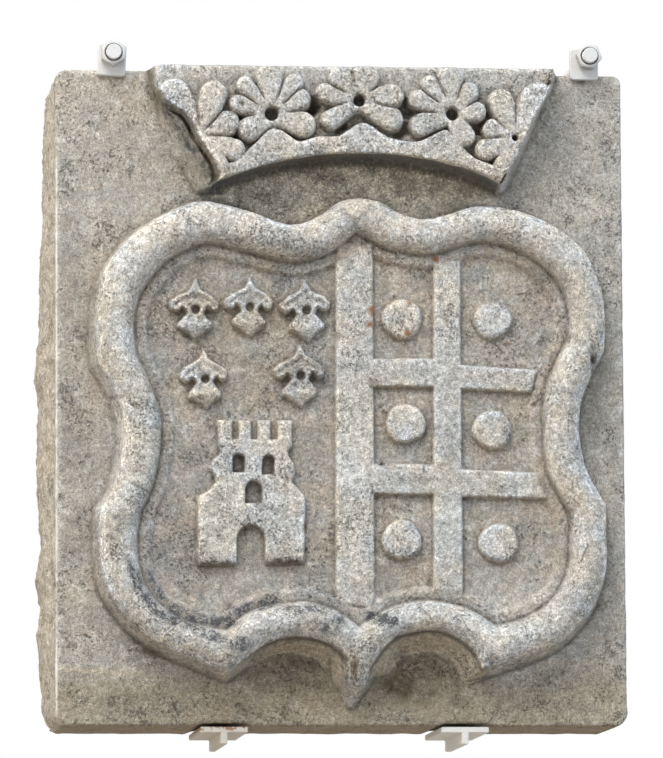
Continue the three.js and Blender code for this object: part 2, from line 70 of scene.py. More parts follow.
# Ribs of the shield's roll, clockwise from the crest: outer x, z and inner x, z, with the
# width of the scooped wall outside it at the start and end of each run.
RIM_RUNS = [
    (1, 1, [  # right shoulder
        (18, 208, 14, 170), (39, 204, 29, 163), (60, 192, 49, 153), (87, 186, 86, 148),
        (115, 193, 115, 155), (150, 201, 150, 162), (198, 192, 187, 152), (240, 169, 213, 135),
        (261, 144, 229, 115), (274, 107, 236, 98), (277, 73, 238, 75), (275, 46, 237, 60)]),
    (1, 1, [  # right waist
        (275, 46, 237, 60), (262, 22, 220, 28), (251, -6, 211, -1), (248, -36, 210, -36),
        (254, -73, 213, -76), (265, -97, 225, -104), (276, -114, 237, -124)]),
    (1, 9, [  # right foot
        (276, -114, 237, -124), (276, -146, 237, -151), (276, -173, 236, -176),
        (271, -198, 229, -198), (256, -229, 217, -214), (226, -259, 199, -228),
        (183, -276, 176, -237), (144, -288, 157, -241)]),
    (18, 20, [  # right arch
        (142, -287, 156, -240), (132, -267, 136, -227), (111, -252, 114, -219),
        (89, -247, 87, -215), (64, -251, 60, -219), (46, -260, 38, -228), (27, -286, 17, -241)]),
    (8, 2, [(26, -291, 15.5, -242.5), (20, -308, 15.2, -242.7), (10, -325, 15, -243)]),  # keel, right
    (2, 2, [(10, -325, 15, -243), (5, -325, 14, -243)]),  # keel, foot
    (2, 14, [(5, -325, 14, -243), (3, -308, 13.8, -242.7), (1, -283, 13.5, -242.5)]),  # keel, left
    (20, 8, [  # left arch
        (1, -279, 12, -241), (-8, -268, -4, -229), (-27, -258, -26, -220), (-53, -254, -47, -217),
        (-78, -260, -86, -222), (-98, -272, -107, -232), (-121, -291, -122, -246)]),
    (8, 7, [  # left foot
        (-123, -292, -124, -247), (-162, -276, -147, -243), (-198, -260, -173, -234),
        (-227, -235, -191, -222), (-248, -206, -207, -203), (-255, -176, -215, -177),
        (-256, -147, -216, -147), (-255, -120, -213, -125)]),
    (7, 8, [  # left waist
        (-255, -120, -213, -125), (-243, -101, -202, -101), (-235, -70, -193, -66),
        (-231, -41, -191, -37), (-235, -12, -193, -17), (-243, 8, -206, 18), (-257, 31, -216, 38)]),
    (8, 1, [  # left shoulder
        (-257, 31, -216, 38), (-260, 71, -220, 72), (-257, 105, -215, 98), (-251, 127, -208, 112),
        (-238, 147, -192, 132), (-213, 173, -171, 148), (-156, 202, -142, 158),
        (-108, 196, -108, 151), (-56, 179, -56, 139), (-24, 189, -24, 145), (-3, 204, -3, 156),
        (16, 208, 12, 169)]),
]
RIB_STEPS = 3
KEEL_RUNS = (4, 5, 6)
KEEL_SLOPE = (-336.0, -288.0)  # z between which the edge of the keel rises

# Crown edges, from top to bottom, at the background and at the front
CROWN_LEFT_BASE = [(-206, 350), (-191, 291), (-178, 255), (-163, 232), (-152, 212)]
CROWN_LEFT_FRONT = [
    (-199, 350), (-197, 324), (-190, 311), (-186, 305), (-165, 292), (-158, 280), (-152, 266),
    (-144, 255), (-135, 241), (-132, 228), (-137, 218)]
CROWN_RIGHT_FRONT = [
    (223, 350), (217, 323), (210, 309), (203, 298), (196, 284), (188, 264), (176, 241), (165, 219)]
CROWN_RIGHT_BASE = [
    (233, 350), (225, 325), (215, 307), (202, 275), (189, 247), (177, 222), (170, 212)]
RIM_ARCH = [
    (-140, 217), (-115, 226), (-89, 235), (-58, 243), (-27, 248), (3, 250), (35, 250),
    (65, 248), (96, 243), (122, 237), (148, 228), (166, 219)]
RIM_CREST = [
    (164, 236), (154, 243), (138, 249), (126, 260), (118, 267), (112, 276), (106, 279),
    (96, 274), (84, 268), (73, 266), (54, 268), (40, 274), (28, 282), (17, 284), (4, 277),
    (-7, 271), (-29, 270), (-47, 265), (-58, 271), (-68, 277), (-78, 277), (-88, 268),
    (-99, 257), (-113, 244), (-128, 238), (-142, 234)]

# Leaves of the crown: hub, eye radius, then each lobe's end x, z and its radius there
ROSETTES = [
    ((-76, 293), 7.2, [
        (-79, 331, 13), (-52, 326, 9.5), (-46, 309, 10.5), (-43, 282, 12.5),
        (-99, 277, 11.5), (-110, 303, 9.5), (-104, 323, 8.5)]),
    ((16, 308), 6.4, [
        (23, 334, 13.5), (-3, 331, 12), (-20, 316, 9.5), (-14, 288, 9.5), (50, 313, 11.5),
        (50, 289, 11.5)]),
    ((114, 295), 6.6, [
        (112, 334, 13), (91, 326, 9), (79, 310, 9.5), (82, 283, 11),
        (126, 272, 11), (140, 298, 9.5), (131, 318, 10.5)]),
    ((-163, 290), 0, [(-151, 262, 8.5), (-183, 306, 8)]),
    ((-147, 264), 0, [(-131, 240, 8)]),
    ((184, 276), 0, [(166, 240, 8.5)]),
    ((-152, 268), 0, [(-178, 314, 14.5), (-137, 313, 13), (-123, 283, 12), (-116, 255, 11)]),
    ((180, 270), 3.2, [(204, 314, 14.5), (166, 309, 12.5), (158, 279, 10.5), (150, 258, 10.5)]),
]
# Deep holes between the leaves: x, z and radius
CROWN_PITS = [
    (-33, 304, 10), (66, 301, 12), (145, 283, 9), (-108, 272, 9), (-106, 292, 8), (60, 281, 12),
    (-3, 281, 9), (-45, 270, 12), (92, 278, 8), (-30, 300, 8), (-132, 292, 8), (158, 295, 7)]
CROWN_PIT_DEPTH = 13.0
LOBE_ROOT = 0.8
LOBE_SKIRT = 0.74
LOBE_GROWTH = 1.2
LOBE_GROOVE = 4.5
LEAF_EYE_DEPTH = 21.0

# Flowers of the shield, tower, bars and roundels
FLOWER_HALF = [
    (0, 33.5), (3.2, 27), (5.5, 22.5), (9, 20.5), (14, 18), (20.5, 14.5), (26, 8), (25, 1.5), (20.5, -1),
    (16.5, 1), (13.5, 4.2), (10.5, 1), (9, -3), (12.5, -7.5), (17.5, -13), (17.5, -17.5),
    (13, -21), (5.5, -26), (0, -32)]
FLOWER_SIDES = (0.92, 1.07)  # right and left half widths against the drawn one
FLOWERS = [  # centre x, z, scale, turn, wear
    (-155, 87, 0.98, 0.0, 0.0), (-98, 90, 0.96, 0.0, 0.1), (-38.5, 87, 1.0, 0.06, 0.3),
    (-145, 14, 0.95, 0.05, 0.5), (-45, 18, 1.0, 0.02, 0.1)]
FLOWER_EYE = 4.9
FLOWER_EYE_DEPTH = 6.5
FLOWER_DISH = 3.2
TOWER = [
    (-153, -179), (-153, -108), (-141, -101), (-134, -93), (-135, -86), (-141, -77), (-137, -69),
    (-129, -62), (-131, -55), (-132, -28), (-118, -28), (-118, -48), (-110, -48), (-110, -28),
    (-98, -28), (-98, -48), (-90, -48), (-90, -28), (-78, -28), (-78, -48), (-69, -48),
    (-69, -28), (-55, -28), (-55, -54), (-60, -60), (-59, -65), (-53, -73), (-52, -83),
    (-55, -92), (-49, -99), (-41, -107), (-43, -176)]
OPENINGS = [  # left, right, sill, head
    (-117, -104, -82, -63), (-86, -73, -84, -64), (-104, -86, -114, -91), (-113, -83, -182, -137)]
DOOR_SILL = -150
RECESS_DEPTH = 14.0
BAR_OUTLINES = [
    [(-7, 160), (31, 160), (30.5, -222), (-9, -220)],
    [(96, 142), (123, 142), (123.5, -214), (93.5, -214)],
    [(28, 38), (97, 38), (97, 9), (28, 9)],
    [(121, 32), (205, 27), (197, 4), (121, 7)],
    [(28, -73), (97, -73), (97, -104), (28, -104)],
    [(121, -78), (204, -81), (213, -108), (121, -106)],
]
ROUNDELS = [  # centre x, z, wear
    (62, 80, 0.2), (158, 80, 1.0), (65, -30, 0.2), (156, -36, 0.5), (60, -152, 0.2), (162, -155, 0.3)]
ROUNDEL_RADIUS = 20.5


# Numbers and noise

def lattice(ix, iz, seed):
    """Repeatable random values from 0 to 1 for whole-number places."""
    n = ix.astype(np.int64) * 374761393 + iz.astype(np.int64) * 668265263 + seed * 982451653
    n = (n ^ (n >> 13)) * 1274126177
    n = n ^ (n >> 16)
    return (n & 0xFFFF) / 65535.0


def noise(x, z, size, seed):
    """Smooth noise from -1 to 1 with features about as long as size."""
    u, v = x / size, z / size
    iu, iv = np.floor(u), np.floor(v)
    fu, fv = u - iu, v - iv
    fu = fu * fu * (3 - 2 * fu)
    fv = fv * fv * (3 - 2 * fv)
    low = lattice(iu, iv, seed) * (1 - fu) + lattice(iu + 1, iv, seed) * fu
    high = lattice(iu, iv + 1, seed) * (1 - fu) + lattice(iu + 1, iv + 1, seed) * fu
    return (low * (1 - fv) + high * fv) * 2 - 1


def layered(x, z, size, seed, layers=3):
    total = 0.0
    for k in range(layers):
        total = total + noise(x, z, size / 2**k, seed + 17 * k) / 2**k
    return total / (2 - 2 ** (1 - layers))


def smooth(value, low, high):
    """Rises from 0 at low to 1 at high."""
    t = np.clip((value - low) / (high - low), 0, 1)
    return t * t * (3 - 2 * t)


def swell(value, power):
    """Rises from 0 to 1, steeply at first, like a rounded edge."""
    return 1 - (1 - np.clip(value, 0, 1)) ** power


def ridge(value, width):
    """1 where the value is 0, falling off to both sides."""
    return np.exp(-(value / width) ** 2)


def turned(x, z, centre_x, centre_z, angle):
    """Coordinates about a centre, on axes turned by an angle."""
    dx, dz = x - centre_x, z - centre_z
    return dx * math.cos(angle) + dz * math.sin(angle), -dx * math.sin(angle) + dz * math.cos(angle)


def oval(x, z, centre_x, centre_z, half_x, half_z, degrees):
    """0 in the middle of a turned oval and 1 on its edge."""
    u, v = turned(x, z, centre_x, centre_z, math.radians(degrees))
    return np.hypot(u / half_x, v / half_z)


def blur(grid, reach):
    """Box blur, run three times along each axis, so nearly a round one."""
    width = max(1, int(round(reach / GRID_STEP)))
    size = 2 * width + 1
    for _ in range(6):
        sums = np.cumsum(np.pad(grid, [(width + 1, width), (0, 0)], mode="edge"), axis=0)
        grid = ((sums[size:] - sums[:-size]) / size).T
    return grid


# Outlines

def spline(points, steps):
    """Points on a smooth curve through the given ones, with steps in each span."""
    p = np.array(points, float)
    before = np.vstack([2 * p[0] - p[1], p, 2 * p[-1] - p[-2]])
    out = []
    for i in range(len(p) - 1):
        a, b, c, d = before[i:i + 4]
        for t in np.arange(steps) / steps:
            out.append(0.5 * (2 * b + (c - a) * t + (2 * a - 5 * b + 4 * c - d) * t**2
                              + (3 * b - a - 3 * c + d) * t**3))
    out.append(p[-1])
    return np.array(out)


def signed_distance(x, z, outline, values=None):
    """Distance to a closed outline, positive inside, and the value of its nearest edge."""
    points = np.asarray(outline, float)
    best = np.full(x.shape, 1e9)
    inside = np.zeros(x.shape, bool)
    nearest = np.zeros(x.shape) if values is not None else None
    for i, (ax, az) in enumerate(points):
        j = (i + 1) % len(points)
        bx, bz = points[j]
        ex, ez = bx - ax, bz - az
        px, pz = x - ax, z - az
        t = np.clip((px * ex + pz * ez) / max(ex * ex + ez * ez, 1e-9), 0, 1)
        gap = (px - t * ex) ** 2 + (pz - t * ez) ** 2
        if values is not None:
            closer = gap < best
            nearest = np.where(closer, values[i] + t * (values[j] - values[i]), nearest)
        best = np.minimum(best, gap)
        if ez != 0:
            crosses = (az > z) != (bz > z)
            inside ^= crosses & (px < (z - az) * ex / ez)
    distance = np.sqrt(best) * np.where(inside, 1, -1)
    return (distance, nearest) if values is not None else distance


def windowed(x, z, outline, margin):
    """Slices of the grid that hold an outline with a margin around it."""
    points = np.asarray(outline, float)
    low, high = points.min(0) - margin, points.max(0) + margin
    columns = np.where((x[0] >= low[0]) & (x[0] <= high[0]))[0]
    rows = np.where((z[:, 0] >= low[1]) & (z[:, 0] <= high[1]))[0]
    return slice(rows[0], rows[-1] + 1), slice(columns[0], columns[-1] + 1)


def rim_outlines():
    """Outer and inner outlines of the roll, with the outer edge height and wall width."""
    outer, inner, edge, wall = [], [], [], []
    for number, (start, end, ribs) in enumerate(RIM_RUNS):
        curve = spline(ribs, RIB_STEPS)
        for k, (ox, oz, ix, iz) in enumerate(curve):
            if outer and math.hypot(outer[-1][0] - ox, outer[-1][1] - oz) < 0.6:
                continue
            low = float(smooth(oz, *KEEL_SLOPE)) if number in KEEL_RUNS else 1.0
            outer.append((ox, oz))
            inner.append((ix, iz))
            wall.append(start + (end - start) * (k / (len(curve) - 1)))
            edge.append(KEEL_EDGE + (ROLL_EDGE - KEEL_EDGE) * low)
    return np.array(outer), np.array(inner), np.array(edge), np.array(wall)


# Carving

def make_background(x, z):
    """Sunk ground of the block, with shallow tool marks and a worn skin."""
    height = 0.9 * layered(x, z, 85, 3) + 0.35 * layered(x, z, 16, 5)
    strokes = noise(x + 0.35 * z, (z - 0.35 * x) * 0.22, 5, 7)
    return height + 0.22 * strokes * smooth(noise(x, z, 60, 9), -0.2, 0.6)


def carve_roll(height, x, z):
    """Scooped wall, half-round roll, flat ledge and sunk field of the shield."""
    outer, inner, edge, wall = rim_outlines()
    reach, edge_near = signed_distance(x, z, outer, edge)
    wall_near = blur(signed_distance(x, z, outer, wall)[1], 3)
    edge_near = blur(edge_near, 3)
    inset = signed_distance(x, z, inner)
    foot = reach + wall_near
    arch_side = smooth(wall_near, 8.5, 12) * smooth(-z, 225, 240)
    slope = np.clip(-reach / np.maximum(wall_near, 1), 0, 1)
    scooped = np.where(reach <= 0, edge_near * (1 - slope) ** 1.12, 0)
    height = np.maximum(height, scooped + height * (slope > 0))
    t = np.clip(reach / np.maximum(reach - inset, 0.1), 0, 1)
    base = edge_near + (LEDGE - edge_near) * t
    keel = smooth(ROLL_EDGE - edge_near, 1, 12)
    round_top = (4 * t * (1 - t)) ** 0.52
    sloping = np.clip(t * 1.6, 0, 1) ** 1.3
    roll = base + (ROLL_TOP - base) * (round_top * (1 - keel) + sloping * np.minimum(1, 4 * (1 - t)) * keel)
    worn = 0.7 * layered(x, z, 34, 21) + 0.35 * layered(x, z, 9, 23)
    height = np.where((reach > 0) & (inset <= 0), roll + worn * round_top, height)
    field_edge = blur(inset, 5) - LEDGE_WIDTH + 0.5 * layered(x, z, 12, 25)
    ledge = LEDGE + 0.5 * layered(x, z, 22, 27)
    ground = FIELD + 0.45 * layered(x, z, 30, 29) + 0.25 * layered(x, z, 6, 31)
    inside = ledge + (ground - ledge) * smooth(field_edge, -2.6, 3.4)
    height = np.where(inset > 0, inside, height)
    height = height - np.where(inset > -3, ridge(inset - 1.0, 2.0) * GUTTER_DEPTH, 0)
    return height, reach, inset, foot, arch_side, keel * smooth(reach, -0.5, 1.0)


def raise_plate(height, x, z, outline, top, soften, wear, seed):
    """A flat charge with rounded, slightly ragged edges, standing on the field."""
    area = windowed(x, z, outline, 6)
    x, z, ground = x[area], z[area], height[area]
    top = np.broadcast_to(top, height.shape)[area]
    distance = signed_distance(x, z, outline) + (0.45 + wear) * layered(x, z, 10, seed)
    rise = (distance + 1.3) / (1.3 + soften)
    skin = (0.35 + 1.6 * wear) * layered(x, z, 14, seed + 1)
    raised = np.minimum(ground, FIELD) + (top + skin - FIELD) * swell(rise, 2.6)
    height[area] = np.where(rise > 0, np.maximum(ground, raised), ground)


def carve_roundel(height, x, z, centre_x, centre_z, wear):
    """A shallow dome; the worn ones have lost part of their edge."""
    turn = np.linspace(0, 2 * math.pi, 40, endpoint=False)
    radius = ROUNDEL_RADIUS * (1 + 0.02 * np.sin(3 * turn + centre_x))
    outline = np.column_stack([centre_x + radius * np.cos(turn), centre_z + radius * np.sin(turn)])
    seed = int(abs(centre_x) + abs(centre_z))
    raise_plate(height, x, z, outline, BARS + 3.0 - 2.5 * wear, 3.6 + 3 * wear, 0.2 + 0.9 * wear, seed)


def carve_flower(height, x, z, centre_x, centre_z, scale, turn, wear):
    """A flower in profile: tip, two arms and a pointed body with a drilled eye."""
    area = windowed(x, z, [(centre_x - 36, centre_z - 36), (centre_x + 36, centre_z + 38)], 0)
    x, z = turned(x[area], z[area], centre_x, centre_z, turn)
    x, z = x / scale, z / scale
    right, left = FLOWER_SIDES
    outline = [(px * right, pz) for px, pz in FLOWER_HALF]
    outline += [(-px * left, pz) for px, pz in FLOWER_HALF[-2:0:-1]]
    seed = int(abs(centre_x) * 3 + abs(centre_z))
    distance = signed_distance(x, z, outline) + (0.9 + 1.3 * wear) * layered(x, z, 9, seed)
    distance = distance + 0.5 * noise(x, z, 3.4, seed + 2)
    rise = (distance + 1.4) / 4.0
    dish = smooth(distance, 2.5, 6.5) * (FLOWER_DISH - 1.6 * wear) * smooth(z, -14, -6)
    across = np.abs(x)
    crease = ridge(z + 12.5 - 0.04 * across**2, 1.6) * (across < 12)
    lip = ridge(z + 17 - 0.04 * across**2, 2.4) * (across < 13)
    facet = smooth(-z, 17, 29) * 4.5
    lift = CHARGES + 1.5 - FIELD - 1.8 * wear
    detail = (1 - 0.7 * wear) * (0.8 * lip - 1.3 * crease) * (rise > 0.6)
    raised = FIELD + lift * swell(rise, 2.8) - dish + detail
    ground = height[area]
    shaped = np.where(rise > 0, np.maximum(ground, raised - facet), ground)
    eye = np.hypot(x, z - 1.5)
    height[area] = shaped - FLOWER_EYE_DEPTH * smooth(-eye, -FLOWER_EYE - 0.6, -FLOWER_EYE + 1.0)


def arched_outline(left, right, sill, head):
    half, centre = (right - left) / 2, (left + right) / 2
    arch = [(centre + half * math.cos(a), head - half + half * math.sin(a))
            for a in np.linspace(0, math.pi, 9)]
    return [(left, sill), (right, sill)] + arch


def carve_tower(height, x, z):
    """Tower with a notched parapet, windows and an open door."""
    raise_plate(height, x, z, TOWER, CHARGES, 2.4, 0.1, 61)
    for left, right, sill, head in OPENINGS:
        outline = arched_outline(left, right, sill, head)
        area = windowed(x, z, outline, 4)
        distance = signed_distance(x[area], z[area], outline) + 0.4 * layered(x[area], z[area], 8, 63)
        ground = height[area]
        floor = CHARGES - RECESS_DEPTH if sill > DOOR_SILL else np.minimum(ground, FIELD)
        height[area] = ground + (floor - ground) * smooth(distance, -0.9, 1.1)


def polyline_x(points, z):
    """x of an upright line of points, at each z."""
    ordered = sorted(points, key=lambda point: point[1])
    return np.interp(z, [p[1] for p in ordered], [p[0] for p in ordered])


def rim_arch_z(x):
    """Lower edge of the crown's rim above each x."""
    return np.interp(x, *zip(*RIM_ARCH))


def under_crown(x, outward, inward):
    """1 below the crown, falling to 0 past the two ends of its rim."""
    left, right = RIM_ARCH[0][0], RIM_ARCH[-1][0]
    return smooth(x, left - outward, left + inward) * smooth(-x, -right - outward, inward - right)


def carve_crown(height, x, z):
    """Crown: ramps at its ends, a sloping ground, the arched rim and five leaves."""
    edges = (CROWN_LEFT_BASE, CROWN_LEFT_FRONT, CROWN_RIGHT_FRONT, CROWN_RIGHT_BASE)
    left_base, left_front, right_front, right_base = (polyline_x(edge, z) for edge in edges)
    above_arch = z - rim_arch_z(x)
    between = np.minimum(x - left_front, right_front - x)

    ramp = np.clip((x - left_base) / np.maximum(left_front - left_base, 1), 0, 1)
    ramp_height = 34 * ramp ** 0.85 + 0.8 * noise(x * 0.5 + z, (x - z) * 0.12, 5, 75)
    groove = ridge(left_front - x - 2.0, 3.0) * (9 + 6 * layered(x, z, 22, 83))
    ramp_height = np.maximum(ramp_height - groove, 0) * smooth(z, 205, 214)
    on_ramp = (x > left_base) & (x < left_front + 1.5) & (above_arch > -2)
    height = np.where(on_ramp, np.maximum(height, ramp_height), height)

    bevel = np.clip((right_base - x) / np.maximum(right_base - right_front, 1), 0, 1)
    on_bevel = (x > right_front - 1) & (x < right_base) & (above_arch > -2)
    height = np.where(on_bevel, np.maximum(height, (CROWN_TOP - 2) * bevel * smooth(z, 208, 216)), height)

    inside = np.minimum(between, above_arch) + 0.6 * layered(x, z, 13, 71)
    ground = CROWN_FLOOR_LOW + (CROWN_FLOOR_HIGH - CROWN_FLOOR_LOW) * smooth(z, 298, 350)
    ground = (ground + 1.1 * layered(x, z, 12, 73)) * smooth(inside, -3.0, 2.5)
    height = np.where(inside > -3, np.maximum(height, ground), height)

    crest = spline(RIM_CREST[::-1], 6)
    crest_z = np.interp(x, crest[:, 0], crest[:, 1]) + 1.5
    rim = np.minimum(np.minimum(above_arch, crest_z - z), between) + 0.7 * layered(x, z, 15, 77)
    rim_height = (CROWN_TOP - 0.5 + 0.9 * layered(x, z, 24, 79)) * swell((rim + 1.5) / 5.5, 2.4)
    height = np.where(rim > -1.5, np.maximum(height, rim_height), height)
    ragged = 0.25 * layered(x, z, 9, 87)
    for pit_x, pit_z, size in CROWN_PITS:
        away = np.hypot(x - pit_x, z - pit_z) / size + ragged
        height = height - CROWN_PIT_DEPTH * (1 - smooth(away, 0.45, 1.1)) * (rim < -1.5)
    for number, rosette in enumerate(ROSETTES):
        carve_rosette(height, x, z, left_front, right_front, 90 + number, *rosette)
    return height


def carve_rosette(height, x, z, left_limit, right_limit, seed, hub, eye, lobes):
    """A leaf of the crown: pillowed lobes that spring from a drilled hub."""
    area = windowed(x, z, [hub] + [lobe[:2] for lobe in lobes], 20)
    x, z = x[area], z[area]
    from_x = x + 0.9 * layered(x, z, 15, seed)
    within = np.minimum(from_x - left_limit[area], right_limit[area] - from_x)
    from_x = from_x - hub[0]
    from_z = z + 0.9 * layered(x, z, 15, seed + 5) - hub[1]
    skin = 0.8 * layered(x, z, 20, seed + 9)
    leaf = height[area].copy()
    best, second = np.zeros(leaf.shape), np.zeros(leaf.shape)
    for end_x, end_z, radius in lobes:
        ex, ez = end_x - hub[0], end_z - hub[1]
        along = np.clip((from_x * ex + from_z * ez) / math.hypot(ex, ez)**2, 0, 1)
        size = LOBE_GROWTH * radius * (LOBE_ROOT + (1 - LOBE_ROOT) * along)
        share = np.clip(1 - np.hypot(from_x - along * ex, from_z - along * ez) / size, 0, 1)
        rise = CROWN_TOP - 1.0 + 1.6 * along + skin - CROWN_FLOOR_LOW
        lobe = CROWN_FLOOR_LOW + rise * LOBE_SKIRT * swell(share / 0.2, 2.2)
        lobe = lobe + rise * (1 - LOBE_SKIRT) * swell(share / 0.6, 2)
        leaf = np.maximum(leaf, np.where((share > 0) & (within > -1), lobe, 0))
        second = np.maximum(second, np.minimum(best, share))
        best = np.maximum(best, share)
    meeting = ridge(best - second, 0.16) * (second > 0)
    away = np.hypot(x - hub[0], z - hub[1])
    leaf = leaf - LOBE_GROOVE * meeting * smooth(away, eye + 4, eye + 15)
    if eye > 0:
        boss = CROWN_TOP - 1.5 - 4.0 * smooth(away, 6, eye + 9)
        leaf = np.where(away < eye + 8, np.maximum(leaf, boss), leaf)
        leaf = leaf - LEAF_EYE_DEPTH * smooth(-away, -eye - 0.8, -eye + 1.4)
    height[area] = leaf


def wear_down(height, x, z):
    """Breaks the sharp edges, and adds pits, grain and chips."""
    edges = height - blur(height, 3)
    knocks = smooth(noise(x, z, 9, 111) + 0.5 * noise(x, z, 3.5, 113), 0.15, 0.9)
    height = height - np.clip(edges, 0, 5) * (0.04 + 0.4 * knocks)
    pits = smooth(noise(x, z, 4.6, 115), 0.62, 0.9) * smooth(noise(x, z, 40, 117), -0.5, 0.5)
    height = height - 1.0 * pits
    grain = 0.22 * noise(x, z, 3.2, 119) + 0.16 * noise(x, z, 2.5, 121)
    return height + grain


# Named damage: x, z, half widths, turn in degrees and depth
CHIPS = [
    (-199, -38, 9, 2, 8, 2.2), (-238, -4, 7, 2.2, -20, 2.5), (-220, -15, 9, 2.2, -30, 2.4),
    (-216, -100, 10, 1.6, -25, 2), (150, -279, 7, 4, 10, 4), (9, -288, 3, 6, 0, 2.5),
    (261, 37, 3, 8, 15, 5), (201, -10, 4.5, 2.5, 30, 3), (249, -170, 1.3, 14, -25, 2),
    (-107, 302, 3, 3, 0, 3), (23, 291, 2.2, 2.2, 0, 3), (-91, -134, 1.6, 1.6, 0, 2),
    (-73, -126, 1.8, 1.5, 0, 2), (152, 300, 2, 7, -10, 4), (-151, -5, 8, 3, 10, 2.5),
    (46, -75, 15, 3.2, -8, 5.5), (30, 12, 4, 5, 0, 2.5), (-7, 60, 3, 8, 0, 2), (96, -40, 2.5, 9, 0, 2),
    (-130, -110, 3, 5, 20, 2), (-42, -140, 2.5, 7, 0, 2.5), (104, 150, 6, 3, 0, 2)
]


def carve_chips(height, x, z):
    for *place, depth in CHIPS:
        ragged = oval(x, z, *place) + 0.35 * noise(x, z, 4, 131)
        height = height - depth * (1 - smooth(ragged, 0.5, 1.15))
    return height


def round_border(height, x, z):
    """Rounded and chipped arris all round the block."""
    inward = np.minimum(BLOCK_WIDTH / 2 - np.abs(x), BLOCK_HEIGHT / 2 - np.abs(z))
    size = 4.5 + 2.2 * layered(x, z, 26, 141) + 1.5 * noise(x, z, 7, 143)
    size = np.clip(size, 1.5, 9)
    share = np.clip(1 - inward / size, 0, 1)
    drop = size * (1 - np.sqrt(np.clip(1 - share**2, 0, 1)))
    return height - np.where(height < 12, drop, drop * 1.3)


def compose_face():
    """Height of the whole carved face, and where the shield's roll and field are."""
    columns = int(round(BLOCK_WIDTH / GRID_STEP)) + 1
    rows = int(round(BLOCK_HEIGHT / GRID_STEP)) + 1
    x, z = np.meshgrid(
        np.linspace(-BLOCK_WIDTH / 2, BLOCK_WIDTH / 2, columns),
        np.linspace(-BLOCK_HEIGHT / 2, BLOCK_HEIGHT / 2, rows))
    warp_x = x + 0.7 * layered(x, z, 22, 151)
    warp_z = z + 0.7 * layered(x, z, 22, 153)
    height = make_background(x, z)
    height, *shield = carve_roll(height, warp_x, warp_z)
    bar_top = BARS - (BARS - LEDGE - 0.4) * smooth(-z, 192, 212)
    for number, corners in enumerate(BAR_OUTLINES):
        raise_plate(height, x, z, corners, bar_top, 2.0, 0.12, 41 + 3 * number)
    for roundel in ROUNDELS:
        carve_roundel(height, x, z, *roundel)
    for flower in FLOWERS:
        carve_flower(height, x, z, *flower)
    carve_tower(height, x, z)
    height = carve_crown(height, warp_x, warp_z)
    height = carve_chips(wear_down(height, x, z), x, z)
    return x, z, round_border(height, x, z), shield


# Mesh of the stone

# How far the rough left side stands out behind the arris, by z
LEFT_SWELL = [
    (-345, 2), (-325, 5), (-298, 8), (-266, 10), (-242, 13), (-209, 9), (-186, 16), (-165, 12),
    (-147, 10), (-101, 12), (-45, 13), (1, 12), (21, 16), (49, 14), (79, 10), (160, 9),
    (230, 6), (288, 5), (324, 3), (345, 0)]
RIGHT_SWELL = 4.0
NOTCH_HALF = 33.0
NOTCH_HEIGHT = 1.5
FRONT_NOTCH = 3.2
RIM_UNDERCUT = 5.0
SIDE_DEPTHS = [1, 3, 6, 9, 13, 17, 22, 27, 33, 39, 46, 53, 60, 68, 76, 84, 92, 100, 108, 116,
               124, 132, 140, 146, 150]


def round_corners(x, z):
    """Moves the points near each corner of the grid so that it follows a quarter circle."""
    x, z = x.copy(), z.copy()
    for (side_x, side_z), radius in zip([(-1, -1), (1, -1), (1, 1), (-1, 1)], CORNER_RADIUS):
        centre_x = side_x * (BLOCK_WIDTH / 2 - radius)
        centre_z = side_z * (BLOCK_HEIGHT / 2 - radius)
        u = (x - centre_x) * side_x / radius
        v = (z - centre_z) * side_z / radius
        near = (u > 0) & (v > 0)
        factor = np.maximum(u, v) / np.maximum(np.hypot(u, v), 1e-9)
        x = np.where(near, centre_x + side_x * radius * u * factor, x)
        z = np.where(near, centre_z + side_z * radius * v * factor, z)
    return x, z


def side_rings(loop_points):
    """Rough sides of the block: one ring of points for each depth behind the face."""
    ahead = np.roll(loop_points, -2, axis=0) - np.roll(loop_points, 2, axis=0)
    normal = np.column_stack([ahead[:, 2], -ahead[:, 0]])
    for _ in range(4):
        normal = normal + np.roll(normal, 1, axis=0) + np.roll(normal, -1, axis=0)
    normal /= np.maximum(np.linalg.norm(normal, axis=1, keepdims=True), 1e-9)
    along = np.arange(len(loop_points)) * GRID_STEP
    sideways, upward = normal[:, 0], normal[:, 1]
    upright = np.abs(sideways)
    swollen = np.interp(loop_points[:, 2], *zip(*LEFT_SWELL)) * np.clip(-sideways, 0, 1)
    swollen = swollen + RIGHT_SWELL * np.clip(sideways, 0, 1)
    notches = notch_at(loop_points[:, 0]) * NOTCH_HEIGHT * (upward < -0.5)
    rings = []
    for depth in SIDE_DEPTHS:
        place = np.full(len(along), float(depth))
        rough = 3.6 * layered(along, place, 30, 161) + 1.9 * layered(along, place, 8, 163)
        fade = smooth(depth, 0, 16)
        bulge = swollen * smooth(depth, 0, 62) * (1 - 0.3 * smooth(depth, 100, 150)) + rough * upright * fade
        hollow = (0.8 + 0.8 * layered(along, place, 20, 165)) * (1 - upright) * fade
        offset = bulge - hollow - notches * (1 - smooth(depth, 30, 45))
        ring = loop_points.copy()
        ring[:, 0] += sideways * offset
        ring[:, 2] += upward * np.minimum(offset, 0)
        ring[:, 1] = np.maximum(loop_points[:, 1], -BLOCK_DEPTH) * (1 - depth / BLOCK_DEPTH)
        rings.append(ring)
    return rings


def notch_at(x):
    """1 over each ledge bracket, falling to 0 beside it."""
    return np.max([smooth(NOTCH_HALF - np.abs(x - middle), 0, 12) for middle in BRACKET_X.values()], 0)


